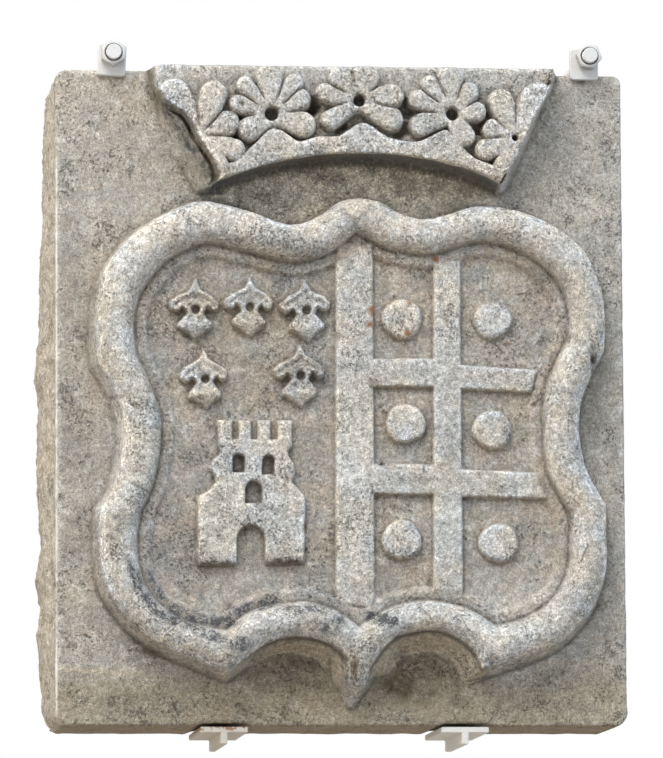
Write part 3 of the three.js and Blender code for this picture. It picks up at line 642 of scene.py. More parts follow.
def stone_points_and_faces(x, z, height):
    rows, columns = x.shape
    face_x, face_z = round_corners(x, z)
    face_z = face_z + FRONT_NOTCH * notch_at(x) * smooth(-z, BLOCK_HEIGHT / 2 - 14, BLOCK_HEIGHT / 2)
    above_arch = z - rim_arch_z(x)
    undercut = RIM_UNDERCUT * under_crown(x, 4, 10) * smooth(above_arch, -16, -2)
    face_z = face_z + undercut * smooth(-above_arch, -2.5, 1.0)
    front = np.column_stack([face_x.ravel(), -BLOCK_DEPTH - height.ravel(), face_z.ravel()])
    index = np.arange(rows * columns).reshape(rows, columns)
    quads = np.stack([index[:-1, :-1], index[:-1, 1:], index[1:, 1:], index[1:, :-1]], -1)
    faces = [quads.reshape(-1, 4)]
    loop = np.concatenate([index[0, :-1], index[:-1, -1], index[-1, :0:-1], index[:0:-1, 0]])
    points = [front]
    start = len(front)
    for ring in side_rings(front[loop]):
        points.append(ring)
        following = np.arange(len(loop)) + start
        faces.append(np.stack([np.roll(loop, -1), loop, following, np.roll(following, -1)], -1))
        loop = following
        start += len(ring)
    points.append(np.zeros((1, 3)))
    back = np.stack([np.roll(loop, -1), loop, np.full(len(loop), start)], -1)
    return np.vstack(points) * MM, np.vstack(faces), back


def mesh_from(name, points, quads, triangles=()):
    """A mesh from arrays of points, four-sided faces and triangles."""
    mesh = bpy.data.meshes.new(name)
    triangles = np.asarray(triangles, dtype=np.int64).reshape(-1, 3)
    corners = np.concatenate([np.asarray(quads).ravel(), triangles.ravel()]).astype(np.int32)
    sizes = np.concatenate([np.full(len(quads), 4), np.full(len(triangles), 3)])
    mesh.vertices.add(len(points))
    mesh.vertices.foreach_set("co", np.asarray(points, dtype=np.float32).ravel())
    mesh.loops.add(len(corners))
    mesh.loops.foreach_set("vertex_index", corners)
    mesh.polygons.add(len(sizes))
    starts = np.concatenate([[0], np.cumsum(sizes)[:-1]]).astype(np.int32)
    mesh.polygons.foreach_set("loop_start", starts)
    mesh.update(calc_edges=True)
    mesh.validate()
    return mesh


def object_from(name, mesh):
    piece = bpy.data.objects.new(name, mesh)
    bpy.context.scene.collection.objects.link(piece)
    return piece


def thin_out(piece):
    """Reduces the stone to the triangle limit, keeping its edges."""
    count = sum(len(polygon.vertices) - 2 for polygon in piece.data.polygons)
    if count <= TRIANGLE_LIMIT:
        return
    modifier = piece.modifiers.new("thin", "DECIMATE")
    modifier.ratio = TRIANGLE_LIMIT / count
    bpy.context.view_layer.update()
    evaluated = piece.evaluated_get(bpy.context.evaluated_depsgraph_get())
    reduced = bpy.data.meshes.new_from_object(evaluated)
    piece.modifiers.clear()
    piece.data = reduced


# Weathering masks and masks of painted shade and light, from 0 to 1, worked out on the grid of the face

# Ovals: x, z, half widths, turn in degrees and strength
PATCHES = {
    # Dark lichen and stains, and painted shadows: under the clip plates, along the foot of the castle,
    # beside the keel and along the crown's left edge.
    "dark": [
        (-222, -190, 8, 36, 20, 1), (-203, -222, 9, 26, 45, 1), (-176, -238, 38, 10, -25, 1.1),
        (-142, -254, 26, 9, -20, 1), (-112, -262, 16, 10, 0, 1), (-196, -203, 6, 26, 30, 1),
        (-165, -229, 34, 9, -18, 1.1), (-130, -237, 26, 9, -5, 1.1), (-104, -224, 22, 9, 32, 1.1),
        (-240, -150, 12, 50, 5, 0.7), (-215, -245, 20, 10, -30, 0.4), (-118, -230, 12, 16, 30, 0.9),
        (-84, -218, 28, 10, 18, 1), (-46, -226, 30, 10, 0, 0.95), (-10, -240, 12, 14, -30, 1),
        (-24, -246, 18, 9, -30, 0.95), (2, -254, 8, 14, 0, 0.7), (-14, -284, 3, 22, 12, 0.9),
        (38, -236, 24, 7, -10, 1.1), (44, -240, 12, 6, 0, 1.1), (56, -254, 7, 3, 20, 1),
        (-92, -250, 8, 4, 0, 0.8), (-120, -285, 8, 4, 0, 0.6), (-160, -190, 30, 26, 40, 0.5),
        (-252, 75, 12, 40, 0, 0.5), (262, 35, 7, 20, 0, 0.9), (-60, 158, 46, 12, -8, 0.6),
        (62, 292, 22, 12, 0, 0.5), (120, 205, 50, 8, 0, 0.5), (200, 130, 40, 14, -30, 0.5),
        (-284, -60, 16, 60, 0, 0.6), (-282, 150, 18, 60, 0, 0.6), (-275, -140, 18, 30, 0, 0.7),
        (288, 60, 9, 60, 0, 0.4), (288, -60, 9, 60, 0, 0.4), (-232, 210, 40, 30, 20, 0.35),
        (-205, -320, 60, 14, 0, 0.5), (210, -310, 60, 16, 0, 0.4), (15, 0, 10, 60, 0, 0.5),
        (110, -60, 10, 50, 0, 0.55), (75, -90, 50, 7, 0, 0.6), (75, 22, 50, 7, 0, 0.45),
        (160, 20, 40, 6, 0, 0.4), (158, -92, 50, 7, 0, 0.4), (-45, 18, 34, 34, 0, 0.5),
        (265, -180, 8, 40, 0, 0.5), (-30, 260, 60, 8, 8, 0.3), (-120, -170, 90, 14, 0, 0.4),
        (-130, -176, 26, 4, 0, 1), (-60, -174, 22, 4, 0, 1), (-190, -40, 14, 60, 0, 0.35),
        (180, -190, 50, 20, 20, 0.35), (-168, 272, 4, 22, 25, 0.9), (-148, 242, 4, 14, 30, 1),
        (-186, 302, 4, 14, 30, 0.9), (-158, 258, 4, 8, 20, 1), (-241, 337, 17, 4, 0, 0.8),
        (260, 338, 17, 4, 0, 0.8)],
    "warm": [
        (0, 222, 190, 34, 0, 0.8), (-240, 250, 60, 50, 0, 0.3), (209, 123, 26, 20, -30, 0.9),
        (-100, 136, 90, 16, 6, 0.9), (-70, -292, 80, 30, 0, 0.4), (60, -296, 60, 34, 0, 0.4),
        (0, -326, 320, 24, 0, 0.9), (40, 60, 24, 80, 0, 0.35), (170, 60, 60, 60, 0, 0.25),
        (110, -190, 100, 20, 0, 0.3), (-180, 60, 40, 80, 0, 0.35), (250, -292, 50, 20, 0, 0.8),
        (-268, 40, 16, 30, 0, 0.4), (262, -30, 20, 40, 0, 0.4), (-255, -80, 22, 40, 0, 0.35),
        (9, -286, 9, 16, 0, 1), (264, 85, 22, 44, 0, 0.6), (-272, 110, 24, 50, 0, 0.6),
        (254, -20, 24, 90, 0, 0.5), (-100, 92, 90, 40, 0, 0.8), (-95, 16, 90, 34, 0, 0.7),
        (-272, 0, 26, 70, 0, 0.5)],
    # Pale crust, and along the lower sides of the roll's arches and on the keel, painted light.
    "pale": [
        (152, -262, 60, 10, 8, 1), (60, -244, 34, 10, 0, 0.9), (-70, -240, 44, 8, 0, 1),
        (-120, 178, 60, 14, -8, 0.7), (60, 178, 100, 16, 0, 0.6), (-240, 30, 18, 60, 0, 0.7),
        (-215, -60, 18, 60, 0, 0.7), (-250, -110, 12, 40, 0, 0.5), (0, 258, 160, 14, 0, 0.5),
        (12, -60, 18, 140, 0, 0.5), (260, -140, 14, 60, 0, 0.4), (10, -262, 16, 26, 0, 0.7),
        (160, -258, 60, 14, 0, 0.5), (82, -238, 70, 16, 0, 1), (14, -306, 6, 18, 0, 1),
        (-190, -232, 50, 14, -30, 0.8), (-75, -236, 60, 16, 0, 0.9), (160, -258, 74, 28, 0, 1),
        (185, -205, 60, 40, 0, 0.6), (-100, -90, 40, 50, 0, 0.5), (240, 100, 16, 40, 0, 0.5),
        (-235, -30, 16, 30, 0, 0.6)],
    "pocked": [
        (-75, 163, 60, 16, -6, 1), (-30, 150, 20, 10, 0, 0.7), (-218, -8, 22, 10, -30, 0.9),
        (-95, 300, 50, 30, 0, 0.6), (16, 305, 60, 30, 0, 0.7), (-165, 295, 26, 30, 0, 0.8),
        (120, 300, 60, 30, 0, 0.4), (-42, 84, 30, 34, 0, 0.5), (-45, 18, 32, 34, 0, 0.8),
        (-99, 76, 22, 24, 0, 0.6), (8, -285, 12, 22, 0, 1), (262, 38, 12, 26, 0, 0.8),
        (-250, 70, 14, 60, 0, 0.4), (-195, -240, 60, 18, -35, 0.8), (-70, -238, 60, 18, 0, 0.5),
        (230, 150, 30, 14, -40, 0.3), (75, 20, 40, 8, 0, 0.5), (75, -86, 50, 8, 0, 0.6),
        (-70, -62, 30, 30, 0, 0.4)],
    "brown": [
        (57, -305, 17, 16, 0, 1), (8, -286, 5, 10, 0, 0.9), (-48, -278, 26, 8, -20, 0.4),
        (64, -320, 18, 5, 0, 0.6), (-20, -300, 30, 8, 0, 0.3), (122, -322, 16, 5, 0, 0.5),
        (-198, -269, 16, 5, -20, 1), (-130, -178, 26, 3, 0, 0.7), (-62, -176, 22, 3, 0, 0.7)],
}
ARCH_GROUNDS = [(-56, -284, 76, 34, 0, 1.0), (78, -286, 76, 36, 0, 1.0)]
VEINS = [  # start, end, half width
    ((-298, -284), (-215, -291), 3.2), ((-288, 219), (-222, 226), 1.3), ((215, -276), (285, -280), 2.0)]
RUST_SPOTS = [
    (98, 144, 5), (30, 90, 6), (27, 74, 5), (69, 97, 4), (68, 65, 4), (173, 56, 4), (30, 84, 4)]


def patches(x, z, entries, ragged):
    """Turned ovals with ragged, fading edges."""
    total = np.zeros(x.shape)
    for *place, strength in entries:
        away = oval(x, z, *place) + 0.45 * ragged
        total = np.maximum(total, strength * (1 - smooth(away, 0.45, 1.3)))
    return total


def rust_spots(x, z, ragged):
    total = np.zeros(x.shape)
    for centre_x, centre_z, size in RUST_SPOTS:
        away = np.hypot(x - centre_x, z - centre_z) + 2.5 * ragged
        total = np.maximum(total, 1 - smooth(away, 0.3 * size, size))
    return total


def ramp_mask(x, z):
    """Sheltered slope between the background and the left edge of the crown."""
    left_base = polyline_x(CROWN_LEFT_BASE, z)
    left_front = polyline_x(CROWN_LEFT_FRONT, z)
    across = smooth(x - left_base, -1.5, 2) * smooth(left_front - x, -1.5, 1.0)
    share = np.clip((x - left_base) / np.maximum(left_front - left_base, 1), 0, 1)
    deep = np.maximum(0.25 + 0.75 * smooth(share, 0.1, 0.7), smooth(z, 285, 310))
    return across * smooth(z, 207, 216) * deep


def veins(x, z):
    """Thin lines of another colour that cross the background."""
    total = np.zeros(x.shape)
    for start, end, width in VEINS:
        ex, ez = end[0] - start[0], end[1] - start[1]
        length = math.hypot(ex, ez)
        along = ((x - start[0]) * ex + (z - start[1]) * ez) / length
        across = ((x - start[0]) * -ez + (z - start[1]) * ex) / length
        across = across + 1.6 * noise(along, along * 0, 17, 175) + 0.5 * noise(x, z, 3, 177)
        within = smooth(along, -6, 4) * smooth(length - along, -6, 4)
        total = np.maximum(total, within * (1 - smooth(np.abs(across), 0.2 * width, width)))
    return total


def arris_line(x, z):
    """White worn line along the left edge of the face, broken here and there."""
    inward = x + BLOCK_WIDTH / 2
    broken = smooth(noise(x * 0.2, z, 14, 173), -0.75, -0.2) * smooth(-z, -262, -240)
    return (1 - smooth(inward, 1.0, 2.6)) * broken


def seams(x, z, falls, reach, foot, arch_side):
    """Painted shadow lines at the foot of the roll, of its scooped wall and of the crown's left ramp."""
    facing_down = smooth(blur(falls, 2.5), 0.3, 1.2)
    roll_line = ridge(reach + 0.4, 1.3) * facing_down * (0.12 + 0.88 * arch_side)
    foot_line = ridge(foot + 0.3, 1.1) * smooth(blur(falls, 4), 0.2, 0.9)
    foot_line = foot_line * (1 - arch_side) * smooth(-z, 150, 200) * 0.75
    ramp_line = ridge(x - polyline_x(CROWN_LEFT_BASE, z), 1.1) * smooth(z, 207, 216)
    ramp_line = ramp_line * smooth(-z, -270, -225) * 0.6
    return np.maximum(np.maximum(roll_line, foot_line), ramp_line)


def weathering_and_shade(x, z, height, reach, inset, foot, arch_side, keel):
    """Named masks on the grid of the face: weathering, with painted shade and painted light."""
    ragged = layered(x, z, 26, 171)
    near, wide = blur(height, 2.6), blur(height, 16)
    falls = np.gradient(height, GRID_STEP, axis=0)
    wall = smooth(-reach, 0, 1.5) * smooth(foot, -1.0, 0.5) * (1 - arch_side)
    on_roll = smooth(reach, 0, 2) * smooth(-inset, 0, 2)
    above_arch = z - rim_arch_z(x)
    within = under_crown(x, 2, 4)
    arches = np.maximum(arch_side * smooth(z, -330, -290), patches(x, z, ARCH_GROUNDS, 0.5 * ragged))
    masks = {name: patches(x, z, entries, ragged) for name, entries in PATCHES.items()}
    masks["pale"] = np.maximum(masks["pale"], keel)
    masks.update(
        # cavity and hollow: brown painted shade in hollows and at the foot of edges.
        cavity=smooth(near - height, 0.3, 3.2),
        hollow=smooth(wide - height, 1.0, 14.0),
        worn=smooth(height - near, 0.2, 2.2),
        raised=smooth(height - wide, 0.5, 9.0),
        # under: painted shade on slopes that face down.
        under=smooth(falls, 0.25, 1.6) * (1 - 0.85 * wall) * (1 - keel) * (1 - 0.6 * on_roll),
        rust=rust_spots(x, z, ragged),
        charge=smooth(height, FIELD + 3.5, FIELD + 6.5) * smooth(inset, 12, 15),
        crown=smooth(above_arch, -1, 2) * smooth(height, 30, 40),
        ramp=ramp_mask(x, z),
        # Painted shadow lines at the foot of the roll, its scooped wall and the crown's left ramp.
        seam=seams(x, z, falls, reach, foot, arch_side),
        # rim_wall: painted shadow under the lower edge of the crown's rim.
        rim_wall=smooth(above_arch, -5.5, -2.0) * smooth(-above_arch, -9, -6) * within,
        # scoop: painted light on the scooped walls beside the arches.
        scoop=smooth(-reach, 0.5, 2.0) * smooth(foot, -0.4, 1.0) * arch_side,
        lip=ridge(foot - 0.8, 0.9) * arch_side * smooth(-reach, 1, 3),
        low_ground=smooth(-z, 275, 312) * smooth(-foot, -0.4, 1.0),
        # sheltered: ground under the crown, whose tan is lightened as painted light in the crown's shadow.
        sheltered=smooth(-reach, 0, 2) * smooth(-above_arch, 0, 3) * smooth(z, 175, 200) * within,
        arches=arches * smooth(-foot, -0.3, 0.7) * smooth(-reach, 0, 2),
        vein=veins(x, z),
        arris=arris_line(x, z),
        field=smooth(inset, 0.0, 6.0))
    return masks


def store_masks(mesh, masks):
    """Writes each mask to the points of the mesh; the sides take the value of the arris."""
    count = len(mesh.vertices)
    places = np.empty(count * 3, np.float32)
    mesh.vertices.foreach_get("co", places)
    places = places.reshape(-1, 3) / MM
    rows, columns = next(iter(masks.values())).shape
    u = np.clip((places[:, 0] + BLOCK_WIDTH / 2) / BLOCK_WIDTH * (columns - 1), 0, columns - 1.001)
    v = np.clip((places[:, 2] + BLOCK_HEIGHT / 2) / BLOCK_HEIGHT * (rows - 1), 0, rows - 1.001)
    iu, iv = u.astype(int), v.astype(int)
    fu, fv = u - iu, v - iv
    behind = smooth(places[:, 1], -BLOCK_DEPTH - 1, -BLOCK_DEPTH + 6)
    for name, grid in masks.items():
        value = (grid[iv, iu] * (1 - fu) * (1 - fv) + grid[iv, iu + 1] * fu * (1 - fv)
                 + grid[iv + 1, iu] * (1 - fu) * fv + grid[iv + 1, iu + 1] * fu * fv)
        layer = mesh.attributes.new(name, "FLOAT", "POINT")
        hidden = smooth(places[:, 1], -BLOCK_DEPTH + 1, -BLOCK_DEPTH + 5) if name == "arris" else behind
        layer.data.foreach_set("value", (value * (1 - hidden)).astype(np.float32))
    layer = mesh.attributes.new("side", "FLOAT", "POINT")
    layer.data.foreach_set("value", behind.astype(np.float32))


# Materials

# Places of the colours among the inputs and outputs of a mix
MIX_FIRST, MIX_SECOND, MIX_RESULT = 6, 7, 2


class Shader:
    """Adds linked nodes to a material or to the world, one small step at a time."""

    def __init__(self, owner, place):
        self.owner = owner
        owner.use_nodes = True
        self.tree = owner.node_tree
        self.tree.nodes.clear()
        self.place = self.add("ShaderNodeTexCoord", place)

    def add(self, kind, output, inputs=None, **settings):
        """Adds a node, fills the inputs named, and returns one of its outputs."""
        node = self.tree.nodes.new(kind)
        for name, value in settings.items():
            setattr(node, name, value)
        for name, value in (inputs or {}).items():
            self.put(value, node.inputs[name])
        return node.outputs[output]

    def put(self, value, socket):
        """Links another node's output to a socket, or sets a number or a colour on it."""
        if isinstance(value, bpy.types.NodeSocket):
            self.tree.links.new(value, socket)
        elif socket.type == "RGBA":
            socket.default_value = (*value, 1.0)
        else:
            socket.default_value = value

    def end(self, kind, surface):
        """Joins the finished surface to the output node."""
        self.put(surface, self.tree.nodes.new(kind).inputs["Surface"])
        return self.owner

    def mask(self, name, share=1):
        value = self.add("ShaderNodeAttribute", "Fac", attribute_name=name)
        return value if share == 1 else self.times(value, share)

    def axis(self, name):
        return self.add("ShaderNodeSeparateXYZ", name, {"Vector": self.place})

    def moved(self, *shift):
        return self.add("ShaderNodeMapping", "Vector", {"Vector": self.place, "Location": shift})

    def stretched(self, *scale):
        return self.add("ShaderNodeMapping", "Vector", {"Vector": self.place, "Scale": scale})

    def noise(self, scale, detail, roughness, place=None):
        return self.add("ShaderNodeTexNoise", "Fac", {
            "Vector": place or self.place, "Scale": scale, "Detail": detail, "Roughness": roughness})

    def ramp(self, value, low, high, bottom=0, top=1):
        """Goes smoothly from bottom to top while the value rises from low to high."""
        return self.add("ShaderNodeMapRange", "Result", {
            "Value": value, "From Min": low, "From Max": high, "To Min": bottom, "To Max": top},
            interpolation_type="SMOOTHSTEP")

    def math(self, operation, a, b):
        return self.add("ShaderNodeMath", "Value", {0: a, 1: b}, operation=operation)

    def times(self, a, b):
        return self.math("MULTIPLY", a, b)

    def plus(self, a, b):
        return self.math("ADD", a, b)

    def minus(self, a, b):
        return self.math("SUBTRACT", a, b)

    def larger(self, a, b):
        return self.math("MAXIMUM", a, b)

    def mix(self, factor, a, b, blend="MIX"):
        inputs = {"Factor": factor, MIX_FIRST: a, MIX_SECOND: b}
        return self.add("ShaderNodeMix", MIX_RESULT, inputs, data_type="RGBA", blend_type=blend)

    def tinted(self, colour, tint):
        return self.mix(1, colour, tint, "MULTIPLY")

    def shaded(self, colour, shade):
        grey = {channel: shade for channel in ("Red", "Green", "Blue")}
        return self.tinted(colour, self.add("ShaderNodeCombineColor", "Color", grey))

    def coats(self, colour, *coats):
        """Lays tints over a colour: each has the name of its mask, its share and its tint."""
        for name, share, tint in coats:
            colour = self.mix(self.mask(name, share), colour, tint)
        return colour

    def bump(self, height, strength, distance, before=None):
        inputs = {"Height": height, "Strength": strength, "Distance": distance}
        if before is not None:
            inputs["Normal"] = before
        return self.add("ShaderNodeBump", "Normal", inputs)

    def finish(self, colour, roughness, normal):
        return self.end("ShaderNodeOutputMaterial", self.add("ShaderNodeBsdfPrincipled", "BSDF", {
            "Base Color": colour, "Roughness": roughness, "Normal": normal}))


# Colours, as linear values, and where some of them fade out, in metres
UNDERSIDE_FADE = (-0.3445, -0.342)
RIM_WALL_FADE = (-0.194, -0.184)
FLANGE_FADE = (-0.3515, -0.347)
STONE_MID = (0.44, 0.42, 0.375)
STONE_LIGHT = (0.66, 0.65, 0.615)
STONE_BEIGE = (0.52, 0.475, 0.41)
STONE_PINK = (0.56, 0.485, 0.435)
STONE_WARM = (0.30, 0.255, 0.19)
STONE_COOL = (0.365, 0.372, 0.372)
STONE_PALE = (0.80, 0.79, 0.77)
# Dark of the pits, also used for painted shade and painted shadows.
SPECK_AND_SHADE_DARK = (0.085, 0.08, 0.07)
# Dark of lichen and stains, also used for painted shadows.
STAIN_AND_SHADOW_DARK = (0.085, 0.09, 0.098)
CAVITY_BROWN = (0.13, 0.105, 0.08)
SIDE_BROWN = (0.66, 0.60, 0.505)
UNDERSIDE_BROWN = (0.40, 0.32, 0.215)
SIDE_DARK = (0.43, 0.365, 0.28)
RUST = (0.30, 0.13, 0.05)
OLIVE = (0.125, 0.115, 0.075)
SCOOP_TAN = (0.50, 0.425, 0.325)
SHELTER_DARK = (0.42, 0.38, 0.30)
SHELTER_TAN = (0.80, 0.72, 0.58)
SHELTER_FLECK = (1.0, 0.96, 0.82)
ARCH_DARK = (0.150, 0.128, 0.090)
ARCH_TAN = (0.31, 0.27, 0.195)
LOW_TINT = (0.86, 0.80, 0.67)
FIELD_TINT = (0.90, 0.885, 0.87)
LIP_TAN = (0.66, 0.59, 0.47)
STAIN_BROWN = (0.095, 0.060, 0.030)
VEIN_TAN = (0.66, 0.55, 0.39)
ARRIS_WHITE = (0.92, 0.91, 0.88)
GRAIN_MEAN = 0.93
STONE_ROUGHNESS = 0.93
PAINT_ROUGHNESS = 0.55
TINT_WARM = (1.06, 1.0, 0.91)
TINT_COOL = (0.95, 1.0, 1.07)
PAINT_WHITE = (0.66, 0.66, 0.66)
PAINT_STUD = (0.66, 0.665, 0.67)
# A lighter copy of the white paint, as painted light.
PAINT_LIT_WHITE = (0.78, 0.765, 0.74)
PAINT_DULL = (0.66, 0.62, 0.55)
PAINT_DIRT = (0.25, 0.24, 0.21)


def stone_base(shader, middle):
    """Mottled ground colour of the stone, before any weathering."""
    colour = shader.mix(shader.ramp(shader.noise(8, 4, 0.6), 0.40, 0.62), STONE_MID, STONE_BEIGE)
    pink = shader.ramp(shader.noise(30, 6, 0.72, shader.moved(7, 5, 1)), 0.47, 0.60)
    pink = shader.times(pink, shader.plus(shader.mask("field", 0.55), 0.2))
    colour = shader.mix(pink, colour, STONE_PINK)
    cool = shader.ramp(shader.noise(22, 7, 0.78, shader.moved(3, 1, 2)), 0.47, 0.60, 0, 0.8)
    cool = shader.times(cool, shader.plus(shader.mask("field", 0.4), 0.45))
    colour = shader.mix(cool, colour, STONE_COOL)
    colour = shader.mix(shader.ramp(middle, 0.50, 0.64, 0, 0.75), colour, STONE_LIGHT)
    return shader.coats(colour, ("charge", 0.5, STONE_LIGHT))


def ground_tones(shader, colour, middle, raised):
    """Pale worn parts and pale patches, some of them painted light, the warm and the sheltered areas, the
    sheltered one lightened as painted light in the crown's shadow, and the sunk and low grounds.
    """
    pale = shader.larger(shader.larger(raised, shader.mask("pale")), shader.mask("crown", 0.5))
    broken = shader.ramp(shader.noise(95, 6, 0.8), 0.42, 0.58)
    pale = shader.times(pale, shader.plus(shader.times(broken, 0.65), 0.32))
    colour = shader.mix(pale, colour, STONE_PALE)
    # The sheltered tan is lighter than the stone around it: painted light in the crown's shadow.
    tan = shader.ramp(shader.noise(42, 6, 0.75, shader.moved(4, 9, 3)), 0.42, 0.60)
    tan = shader.mix(tan, SHELTER_DARK, SHELTER_TAN)
    tan = shader.mix(shader.ramp(shader.noise(90, 5, 0.7), 0.58, 0.64, 0, 0.7), tan, SHELTER_FLECK)
    colour = shader.coats(colour, ("warm", 0.4, STONE_WARM), ("sheltered", 0.9, tan))
    sunk = shader.minus(shader.mask("field"), shader.mask("charge"))
    colour = shader.mix(sunk, colour, shader.tinted(colour, FIELD_TINT))
    arch_tan = shader.mix(shader.ramp(middle, 0.38, 0.62), ARCH_DARK, ARCH_TAN)
    return shader.coats(
        colour, ("low_ground", 1, shader.tinted(colour, LOW_TINT)), ("arches", 0.9, arch_tan))


def hollow_tones(shader, colour, blotch):
    """Brown painted shade in hollows and at the foot of edges, painted shade on slopes that face down, moss
    on the crown's ramp, and the tan scoops, lightened as painted light, and veins.
    """
    # Brown painted shade in hollows; below, painted shade on slopes that face down and painted light on the
    # scoops.
    hollow = shader.plus(shader.mask("hollow", 0.06), shader.mask("cavity", 0.55))
    colour = shader.mix(hollow, colour, CAVITY_BROWN)
    return shader.coats(
        colour, ("under", 0.4, STONE_WARM), ("ramp", shader.plus(shader.times(blotch, 0.6), 0.34), OLIVE),
        ("scoop", 0.7, SCOOP_TAN), ("lip", 0.7, LIP_TAN), ("vein", 0.6, VEIN_TAN))


def side_tones(shader, middle, lumps):
    """Rough sides of the block, darker and browner on its underside as painted shade."""
    colour = shader.mix(shader.ramp(lumps, 0.36, 0.54), SIDE_DARK, SIDE_BROWN)
    colour = shader.mix(shader.ramp(middle, 0.5, 0.66, 0, 0.5), colour, STONE_LIGHT)
    # Painted shade: darker and browner on the underside.
    return shader.mix(shader.ramp(shader.axis("Z"), *UNDERSIDE_FADE, 0.75, 0), colour, UNDERSIDE_BROWN)


def grained(shader, colour, grit, fine, raised):
    """Light and dark grain, warm and cool tints, and pale flecks."""
    shade = shader.ramp(shader.noise(130, 5, 0.75, shader.moved(2, 8, 4)), 0.34, 0.66, 0.80, 1.18)
    for grain in (grit, fine):
        shade = shader.times(shade, shader.ramp(grain, 0.36, 0.66, 0.70, 1.20))
    rough = shader.larger(shader.larger(raised, shader.mask("sheltered")), shader.mask("charge", 0.6))
    contrast = shader.plus(shader.times(rough, 0.34), 0.96)
    shade = shader.times(shader.minus(shade, GRAIN_MEAN), contrast)
    colour = shader.shaded(colour, shader.plus(shade, GRAIN_MEAN))
    tint = shader.ramp(shader.noise(26, 3, 0.6, shader.moved(5, 3, 8)), 0.42, 0.58)
    tint = shader.mix(tint, TINT_WARM, TINT_COOL)
    share = shader.plus(shader.mask("field", 0.3), shader.plus(shader.times(raised, 0.7), 0.15))
    colour = shader.mix(share, colour, shader.tinted(colour, tint))
    flecks = shader.ramp(shader.noise(380, 4, 0.8, shader.moved(9, 2, 6)), 0.57, 0.66)
    crusty = shader.plus(shader.mask("crown", 0.6), 0.4)
    return shader.mix(shader.times(flecks, shader.times(crusty, 0.55)), colour, STONE_PALE)


def stained_and_shadowed(shader, colour, blotch_noise, blotch):
    """Dark lichen, dark patches that are partly painted shadows, and brown blotches."""
    lichen = shader.plus(blotch_noise, shader.times(shader.noise(420, 4, 0.8), 0.5))
    lichen = shader.plus(lichen, shader.mask("dark", 0.15))
    dark = shader.times(shader.ramp(lichen, 0.855, 0.92), shader.plus(shader.mask("dark", 0.7), 0.2))
    dark = shader.plus(dark, shader.mask("dark", 0.1))
    colour = shader.mix(dark, colour, STAIN_AND_SHADOW_DARK)
    return shader.coats(colour, ("brown", shader.plus(shader.times(blotch, 0.6), 0.38), STAIN_BROWN))


def pitted(shader):
    """Small dark pits, closer together in the pocked areas and on the crown."""
    close = shader.ramp(shader.noise(26, 5, 0.72), 0.44, 0.62, 0.12, 0.9)
    close = shader.larger(shader.larger(close, shader.mask("pocked")), shader.mask("crown", 0.5))
    threshold = shader.minus(0.625, shader.times(close, 0.115))
    pits = shader.noise(330, 6, 0.85, shader.moved(1, 4, 7))
    return shader.ramp(shader.minus(pits, threshold), 0, 0.06, 0, 0.8)


def stone_material():
    shader = Shader(bpy.data.materials.new("weathered limestone"), "Object")
    middle = shader.noise(60, 6, 0.74)
    grit = shader.noise(300, 4, 0.75)
    fine = shader.noise(820, 2, 0.6)
    lumps = shader.noise(95, 6, 0.72, shader.stretched(1, 1, 0.7))
    blotch_noise = shader.noise(150, 8, 0.86)
    blotch = shader.ramp(blotch_noise, 0.47, 0.55)
    raised = shader.plus(shader.mask("raised", 0.55), shader.mask("worn", 0.6))
    pits = pitted(shader)

    colour = stone_base(shader, middle)
    colour = ground_tones(shader, colour, middle, raised)
    colour = hollow_tones(shader, colour, blotch)
    colour = shader.coats(colour, ("side", 1, side_tones(shader, middle, lumps)))
    colour = grained(shader, colour, grit, fine, raised)
    colour = stained_and_shadowed(shader, colour, blotch_noise, blotch)
    colour = shader.mix(pits, colour, SPECK_AND_SHADE_DARK)
    # Painted shadow lines and painted shadow under the crown's rim, strongest where the surface lies deeper;
    # then rust and the white arris.
    behind = shader.ramp(shader.axis("Y"), *RIM_WALL_FADE, 0, 0.8)
    colour = shader.coats(
        colour, ("seam", 0.85, SPECK_AND_SHADE_DARK), ("rim_wall", behind, SPECK_AND_SHADE_DARK), ("rust", 1, RUST),
        ("arris", 0.85, ARRIS_WHITE))

    normal = shader.bump(shader.noise(150, 6, 0.75), 0.7, 0.0013)
    normal = shader.bump(shader.plus(fine, grit), 0.55, 0.0005, normal)
    normal = shader.bump(shader.minus(1, pits), 0.8, 0.0012, normal)
    normal = shader.bump(shader.mask("side", lumps), 0.9, 0.006, normal)
    return shader.finish(colour, STONE_ROUGHNESS, normal)


def paint_material(name, white, rust):
    """White paint with patchy dirt, painted shade on the nut's sides and round the rod, and rust along the
    upper edges where it has come off.
    """
    shader = Shader(bpy.data.materials.new(name), "Object")
    dirt = shader.ramp(shader.noise(180, 4, 0.65), 0.55, 0.75, 0, 0.2)
    colour = shader.mix(dirt, white, PAINT_DIRT)
    upper = shader.ramp(shader.axis("Z"), *FLANGE_FADE, 0, 0.16)
    flakes = shader.ramp(shader.plus(shader.noise(160, 5, 0.75), upper), 0.62, 0.66, 0, rust)
    colour = shader.mix(flakes, colour, RUST)
    # gap: painted shade on the nut's sides and in the ring round the rod.
    colour = shader.coats(colour, ("gap", 0.85, SPECK_AND_SHADE_DARK))
    return shader.finish(colour, PAINT_ROUGHNESS, shader.bump(shader.noise(300, 3, 0.55), 0.25, 0.0004))


# Fixings

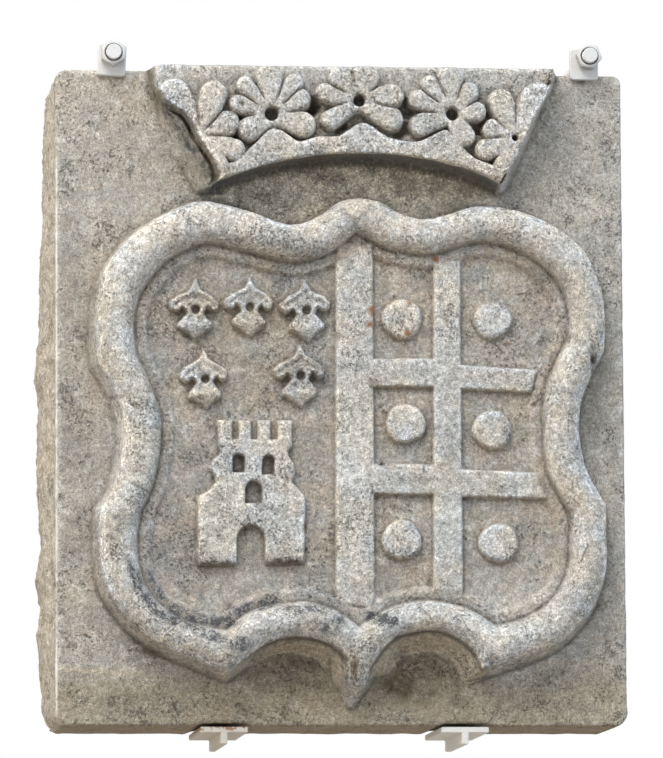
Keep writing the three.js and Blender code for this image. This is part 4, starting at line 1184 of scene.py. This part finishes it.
CLIPS = {
    "left": {"rod": (-240, 361), "plate": (-241, 355), "size": (30, 34), "turn": -0.05, "nut": 0.0},
    "right": {"rod": (264, 363), "plate": (260, 356), "size": (30, 33), "turn": 0.0, "nut": 0.35},
}
ROD_RADIUS = 8.0
ROD_PROUD = 6.0
GAP = 0.3
PLATE_THICKNESS = 6.0
NUT_ACROSS_FLATS = 24.0
NUT_HEIGHT = 13.0
FLANGE = (50.0, 6.0)
WEB = (7.0, 12.0)
BRACKET_LENGTH = 146.0
THREAD_PITCH = 2.0
THREAD_DEPTH = 0.95
SQUARENESS = 16.0  # the higher, the sharper the corners of a plate
ROUND_POINTS = 48
SHARP_ANGLE = math.radians(30)


def loft(name, rings, closed):
    """A mesh through rings of equal length; closed joins the last ring to the first."""
    count = len(rings[0])
    points = np.vstack(rings) * MM
    spans = len(rings) if closed else len(rings) - 1
    quads = []
    for k in range(spans):
        a = np.arange(count) + k * count
        b = np.arange(count) + ((k + 1) % len(rings)) * count
        quads.append(np.stack([a, np.roll(a, -1), np.roll(b, -1), b], -1))
    mesh = mesh_from(name, points, np.vstack(quads))
    shape = bmesh.new()
    shape.from_mesh(mesh)
    if not closed:
        bmesh.ops.holes_fill(shape, edges=shape.edges)
    bmesh.ops.recalc_face_normals(shape, faces=shape.faces)
    shape.to_mesh(mesh)
    shape.free()
    return mesh


def ring_at(outline, centre, y):
    outline = np.asarray(outline, float)
    return np.column_stack([outline[:, 0] + centre[0], np.full(len(outline), y), outline[:, 1] + centre[1]])


def angles():
    return np.linspace(0, 2 * math.pi, ROUND_POINTS, endpoint=False)


def circle(radius):
    turn = angles()
    return np.column_stack([radius * np.cos(turn), radius * np.sin(turn)])


def rounded_rectangle(width, height, radius, turn):
    """Points by angle round a rectangle with rounded corners, turned about its middle."""
    out = []
    for angle in angles():
        across, up = abs(math.cos(angle - turn)), abs(math.sin(angle - turn))
        scale = (across / (width / 2)) ** SQUARENESS + (up / (height / 2)) ** SQUARENESS
        corner = math.hypot(width / 2, height / 2) - radius * 0.41
        reach = min(scale ** (-1 / SQUARENESS), corner)
        out.append((reach * math.cos(angle), reach * math.sin(angle)))
    return np.array(out)


def hexagon(across_flats, turn):
    out = []
    for angle in angles():
        part = (angle - turn + math.pi / 6) % (math.pi / 3) - math.pi / 6
        radius = across_flats / 2 / math.cos(part)
        out.append((radius * math.cos(angle), radius * math.sin(angle)))
    return np.array(out)


def finish_piece(name, mesh, material):
    mesh.materials.clear()
    mesh.materials.append(material)
    mesh.set_sharp_from_angle(angle=SHARP_ANGLE)
    piece = object_from(name + "_look", mesh)
    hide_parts(name)
    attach(piece, "root")
    return piece


def clip_plate(side, clip, material):
    back = -BLOCK_DEPTH - GAP
    front = back - PLATE_THICKNESS
    width, height = clip["size"]
    rod, centre = clip["rod"], clip["plate"]
    outer = rounded_rectangle(width, height, 2.5, clip["turn"])
    edge = rounded_rectangle(width - 1.8, height - 1.8, 2.0, clip["turn"])
    hole = circle(ROD_RADIUS + GAP)
    rings = [ring_at(outline, middle, y) for outline, middle, y in (
        (outer, centre, back), (outer, centre, front + 0.9), (edge, centre, front),
        (hole, rod, front), (hole, rod, back))]
    return finish_piece(side + "_clip_plate", loft(side + " plate", rings, True), material)


def clip_nut(side, clip, material):
    back = -BLOCK_DEPTH - 2 * GAP - PLATE_THICKNESS
    front = back - NUT_HEIGHT
    outline = hexagon(NUT_ACROSS_FLATS, clip["nut"])
    shoulder = ring_at(outline, clip["rod"], front)
    shoulder[:, 1] += (np.hypot(outline[:, 0], outline[:, 1]) - NUT_ACROSS_FLATS / 2) * 0.7 + 0.4
    hole = ROD_RADIUS + GAP
    rounds = [
        (NUT_ACROSS_FLATS / 2 - 0.6, front), (hole + 1.4, front), (hole + 1.3, front),
        (hole, front + 1.2), (hole, back)]
    rings = [ring_at(outline, clip["rod"], back), shoulder]
    rings += [ring_at(circle(radius), clip["rod"], y) for radius, y in rounds]
    mesh = loft(side + " nut", rings, True)
    # Painted shade on the nut's sides and in the ring round the rod.
    nut_shade = np.repeat([0.5, 0.3, 0.0, 0.0, 1.0, 1.0, 1.0], ROUND_POINTS)
    mesh.attributes.new("gap", "FLOAT", "POINT").data.foreach_set("value", nut_shade.astype(np.float32))
    return finish_piece(side + "_clip_nut", mesh, material)


def clip_rod(side, clip, material):
    """Threaded rod, from the wall to just past the nut."""
    length = BLOCK_DEPTH + 2 * GAP + PLATE_THICKNESS + NUT_HEIGHT + ROD_PROUD
    rings = []
    for y in np.arange(0, length - 1.0, 0.5):
        phase = (y / THREAD_PITCH + angles() / (2 * math.pi)) % 1.0
        radius = ROD_RADIUS - THREAD_DEPTH * np.abs(2 * phase - 1) - 0.02
        rings.append(ring_at(circle(radius), clip["rod"], -y))
    rings.append(ring_at(circle(ROD_RADIUS - 0.1), clip["rod"], 0.6 - length))
    rings.append(ring_at(circle(ROD_RADIUS - 0.7), clip["rod"], -length))
    return finish_piece(side + "_clip_rod", loft(side + " rod", rings, False), material)


def ledge_bracket(side, material):
    """Tee bar with softened edges, flange up."""
    top = -BLOCK_HEIGHT / 2 - GAP
    half, web = FLANGE[0] / 2, WEB[0] / 2
    low, foot = -FLANGE[1], -FLANGE[1] - WEB[1]
    section = np.array([
        (-half, 0), (-half, low), (-web, low), (-web, foot), (web, foot), (web, low), (half, low),
        (half, 0)])
    rings = [ring_at(section, (BRACKET_X[side], top), y) for y in (0.0, -BRACKET_LENGTH)]
    mesh = loft(side + " bracket", rings, False)
    shape = bmesh.new()
    shape.from_mesh(mesh)
    sharp = [edge for edge in shape.edges if edge.calc_face_angle(0) > 0.5]
    bmesh.ops.bevel(shape, geom=sharp, offset=0.7 * MM, segments=2, affect="EDGES")
    shape.to_mesh(mesh)
    shape.free()
    return finish_piece(side + "_ledge_bracket", mesh, material)


def build_fixings():
    plain = paint_material("white paint", PAINT_WHITE, 0)
    stud = paint_material("stud paint", PAINT_STUD, 0)
    # The right bracket gets a lighter white than the plates and nuts: painted light.
    brightly_lit = paint_material("bright paint", PAINT_LIT_WHITE, 0)
    rusty = paint_material("rusty paint", PAINT_DULL, 0.9)
    for side, clip in CLIPS.items():
        clip_plate(side, clip, plain)
        clip_nut(side, clip, plain)
        clip_rod(side, clip, stud)
        ledge_bracket(side, rusty if side == "left" else brightly_lit)


def build_stone():
    x, z, height, shield = compose_face()
    points, quads, back = stone_points_and_faces(x, z, height)
    piece = object_from("armorial_stone_look", mesh_from("carved stone", points, quads, back))
    thin_out(piece)
    store_masks(piece.data, weathering_and_shade(x, z, height, *shield))
    piece.data.materials.append(stone_material())
    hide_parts("armorial_stone")
    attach(piece, "root")
    return piece


# Camera and light

SKY_TOP = (0.93, 0.97, 1.0)
SKY_LEFT = (1.0, 0.93, 0.84)
SKY_RIGHT = (0.70, 0.85, 1.0)
SKY_GROUND = (0.76, 0.69, 0.60)
SKY_STRENGTH = 0.68
CAMERA_AZIMUTH = -6.0
CAMERA_ELEVATION = -6.6
CAMERA_DISTANCE = 6.5
CAMERA_TARGET = (-0.0101, -0.150, 0.0195)
CAMERA_ROLL = -0.305
CAMERA_LENS = 294.2
SENSOR_WIDTH = 36.0
LIT_CENTRE = (0.0, -0.15, 0.0)
LIGHTS = [  # name, place, size, power and colour
    ("high sun", (-1.0, -2.2, 2.9), 2.2, 118.0, (1.0, 0.98, 0.945)),
    ("right sky", (3.2, -1.6, 0.9), 1.6, 38.0, (0.60, 0.77, 1.0)),
    ("left wall", (-3.4, -1.2, 0.5), 2.0, 46.0, (1.0, 0.95, 0.88)),
]


def place_camera():
    azimuth, elevation = math.radians(CAMERA_AZIMUTH), math.radians(CAMERA_ELEVATION)
    back = Vector((
        math.sin(azimuth) * math.cos(elevation), -math.cos(azimuth) * math.cos(elevation),
        math.sin(elevation)))
    right = Vector((0, 0, 1)).cross(back).normalized()
    up = back.cross(right)
    roll = math.radians(CAMERA_ROLL)
    turned_right = math.cos(roll) * right + math.sin(roll) * up
    turned_up = -math.sin(roll) * right + math.cos(roll) * up
    axes = Matrix((turned_right, turned_up, back)).transposed().to_4x4()
    camera = bpy.data.cameras.new("front camera")
    camera.lens = CAMERA_LENS
    camera.sensor_width = SENSOR_WIDTH
    camera.dof.use_dof = False
    holder = bpy.data.objects.new("front camera", camera)
    holder.matrix_world = Matrix.Translation(Vector(CAMERA_TARGET) + back * CAMERA_DISTANCE) @ axes
    bpy.context.scene.collection.objects.link(holder)
    bpy.context.scene.camera = holder


def area_light(name, position, size, power, colour):
    light = bpy.data.lights.new(name, "AREA")
    light.size = size
    light.energy = power
    light.color = colour
    holder = bpy.data.objects.new(name, light)
    holder.location = position
    direction = Vector(LIT_CENTRE) - Vector(position)
    holder.rotation_euler = direction.to_track_quat("-Z", "Y").to_euler()
    bpy.context.scene.collection.objects.link(holder)


def daylight_world():
    """Bright sky above, a cool side on the right and a warm sunlit side on the left."""
    shader = Shader(bpy.data.worlds.new("open sky"), "Generated")
    up = shader.axis("Z")
    sides = shader.mix(shader.ramp(shader.axis("X"), -0.8, 0.8), SKY_LEFT, SKY_RIGHT)
    upper = shader.mix(shader.ramp(up, 0, 0.9), sides, SKY_TOP)
    whole = shader.mix(shader.ramp(up, -0.45, 0.1), SKY_GROUND, upper)
    sky = shader.add("ShaderNodeBackground", "Background", {"Color": whole, "Strength": SKY_STRENGTH})
    backdrop = shader.add("ShaderNodeBackground", "Background", {"Color": (1.0, 1.0, 1.0)})
    seen = shader.add("ShaderNodeLightPath", "Is Camera Ray")
    choice = shader.add("ShaderNodeMixShader", "Shader", {"Fac": seen, 1: sky, 2: backdrop})
    bpy.context.scene.world = shader.end("ShaderNodeOutputWorld", choice)


def light_scene():
    """White surroundings, with soft daylight from above and some from the left."""
    daylight_world()
    for light in LIGHTS:
        area_light(*light)


def main():
    build_stone()
    build_fixings()
    place_camera()
    light_scene()
    bpy.context.scene.view_settings.view_transform = "Standard"


main()
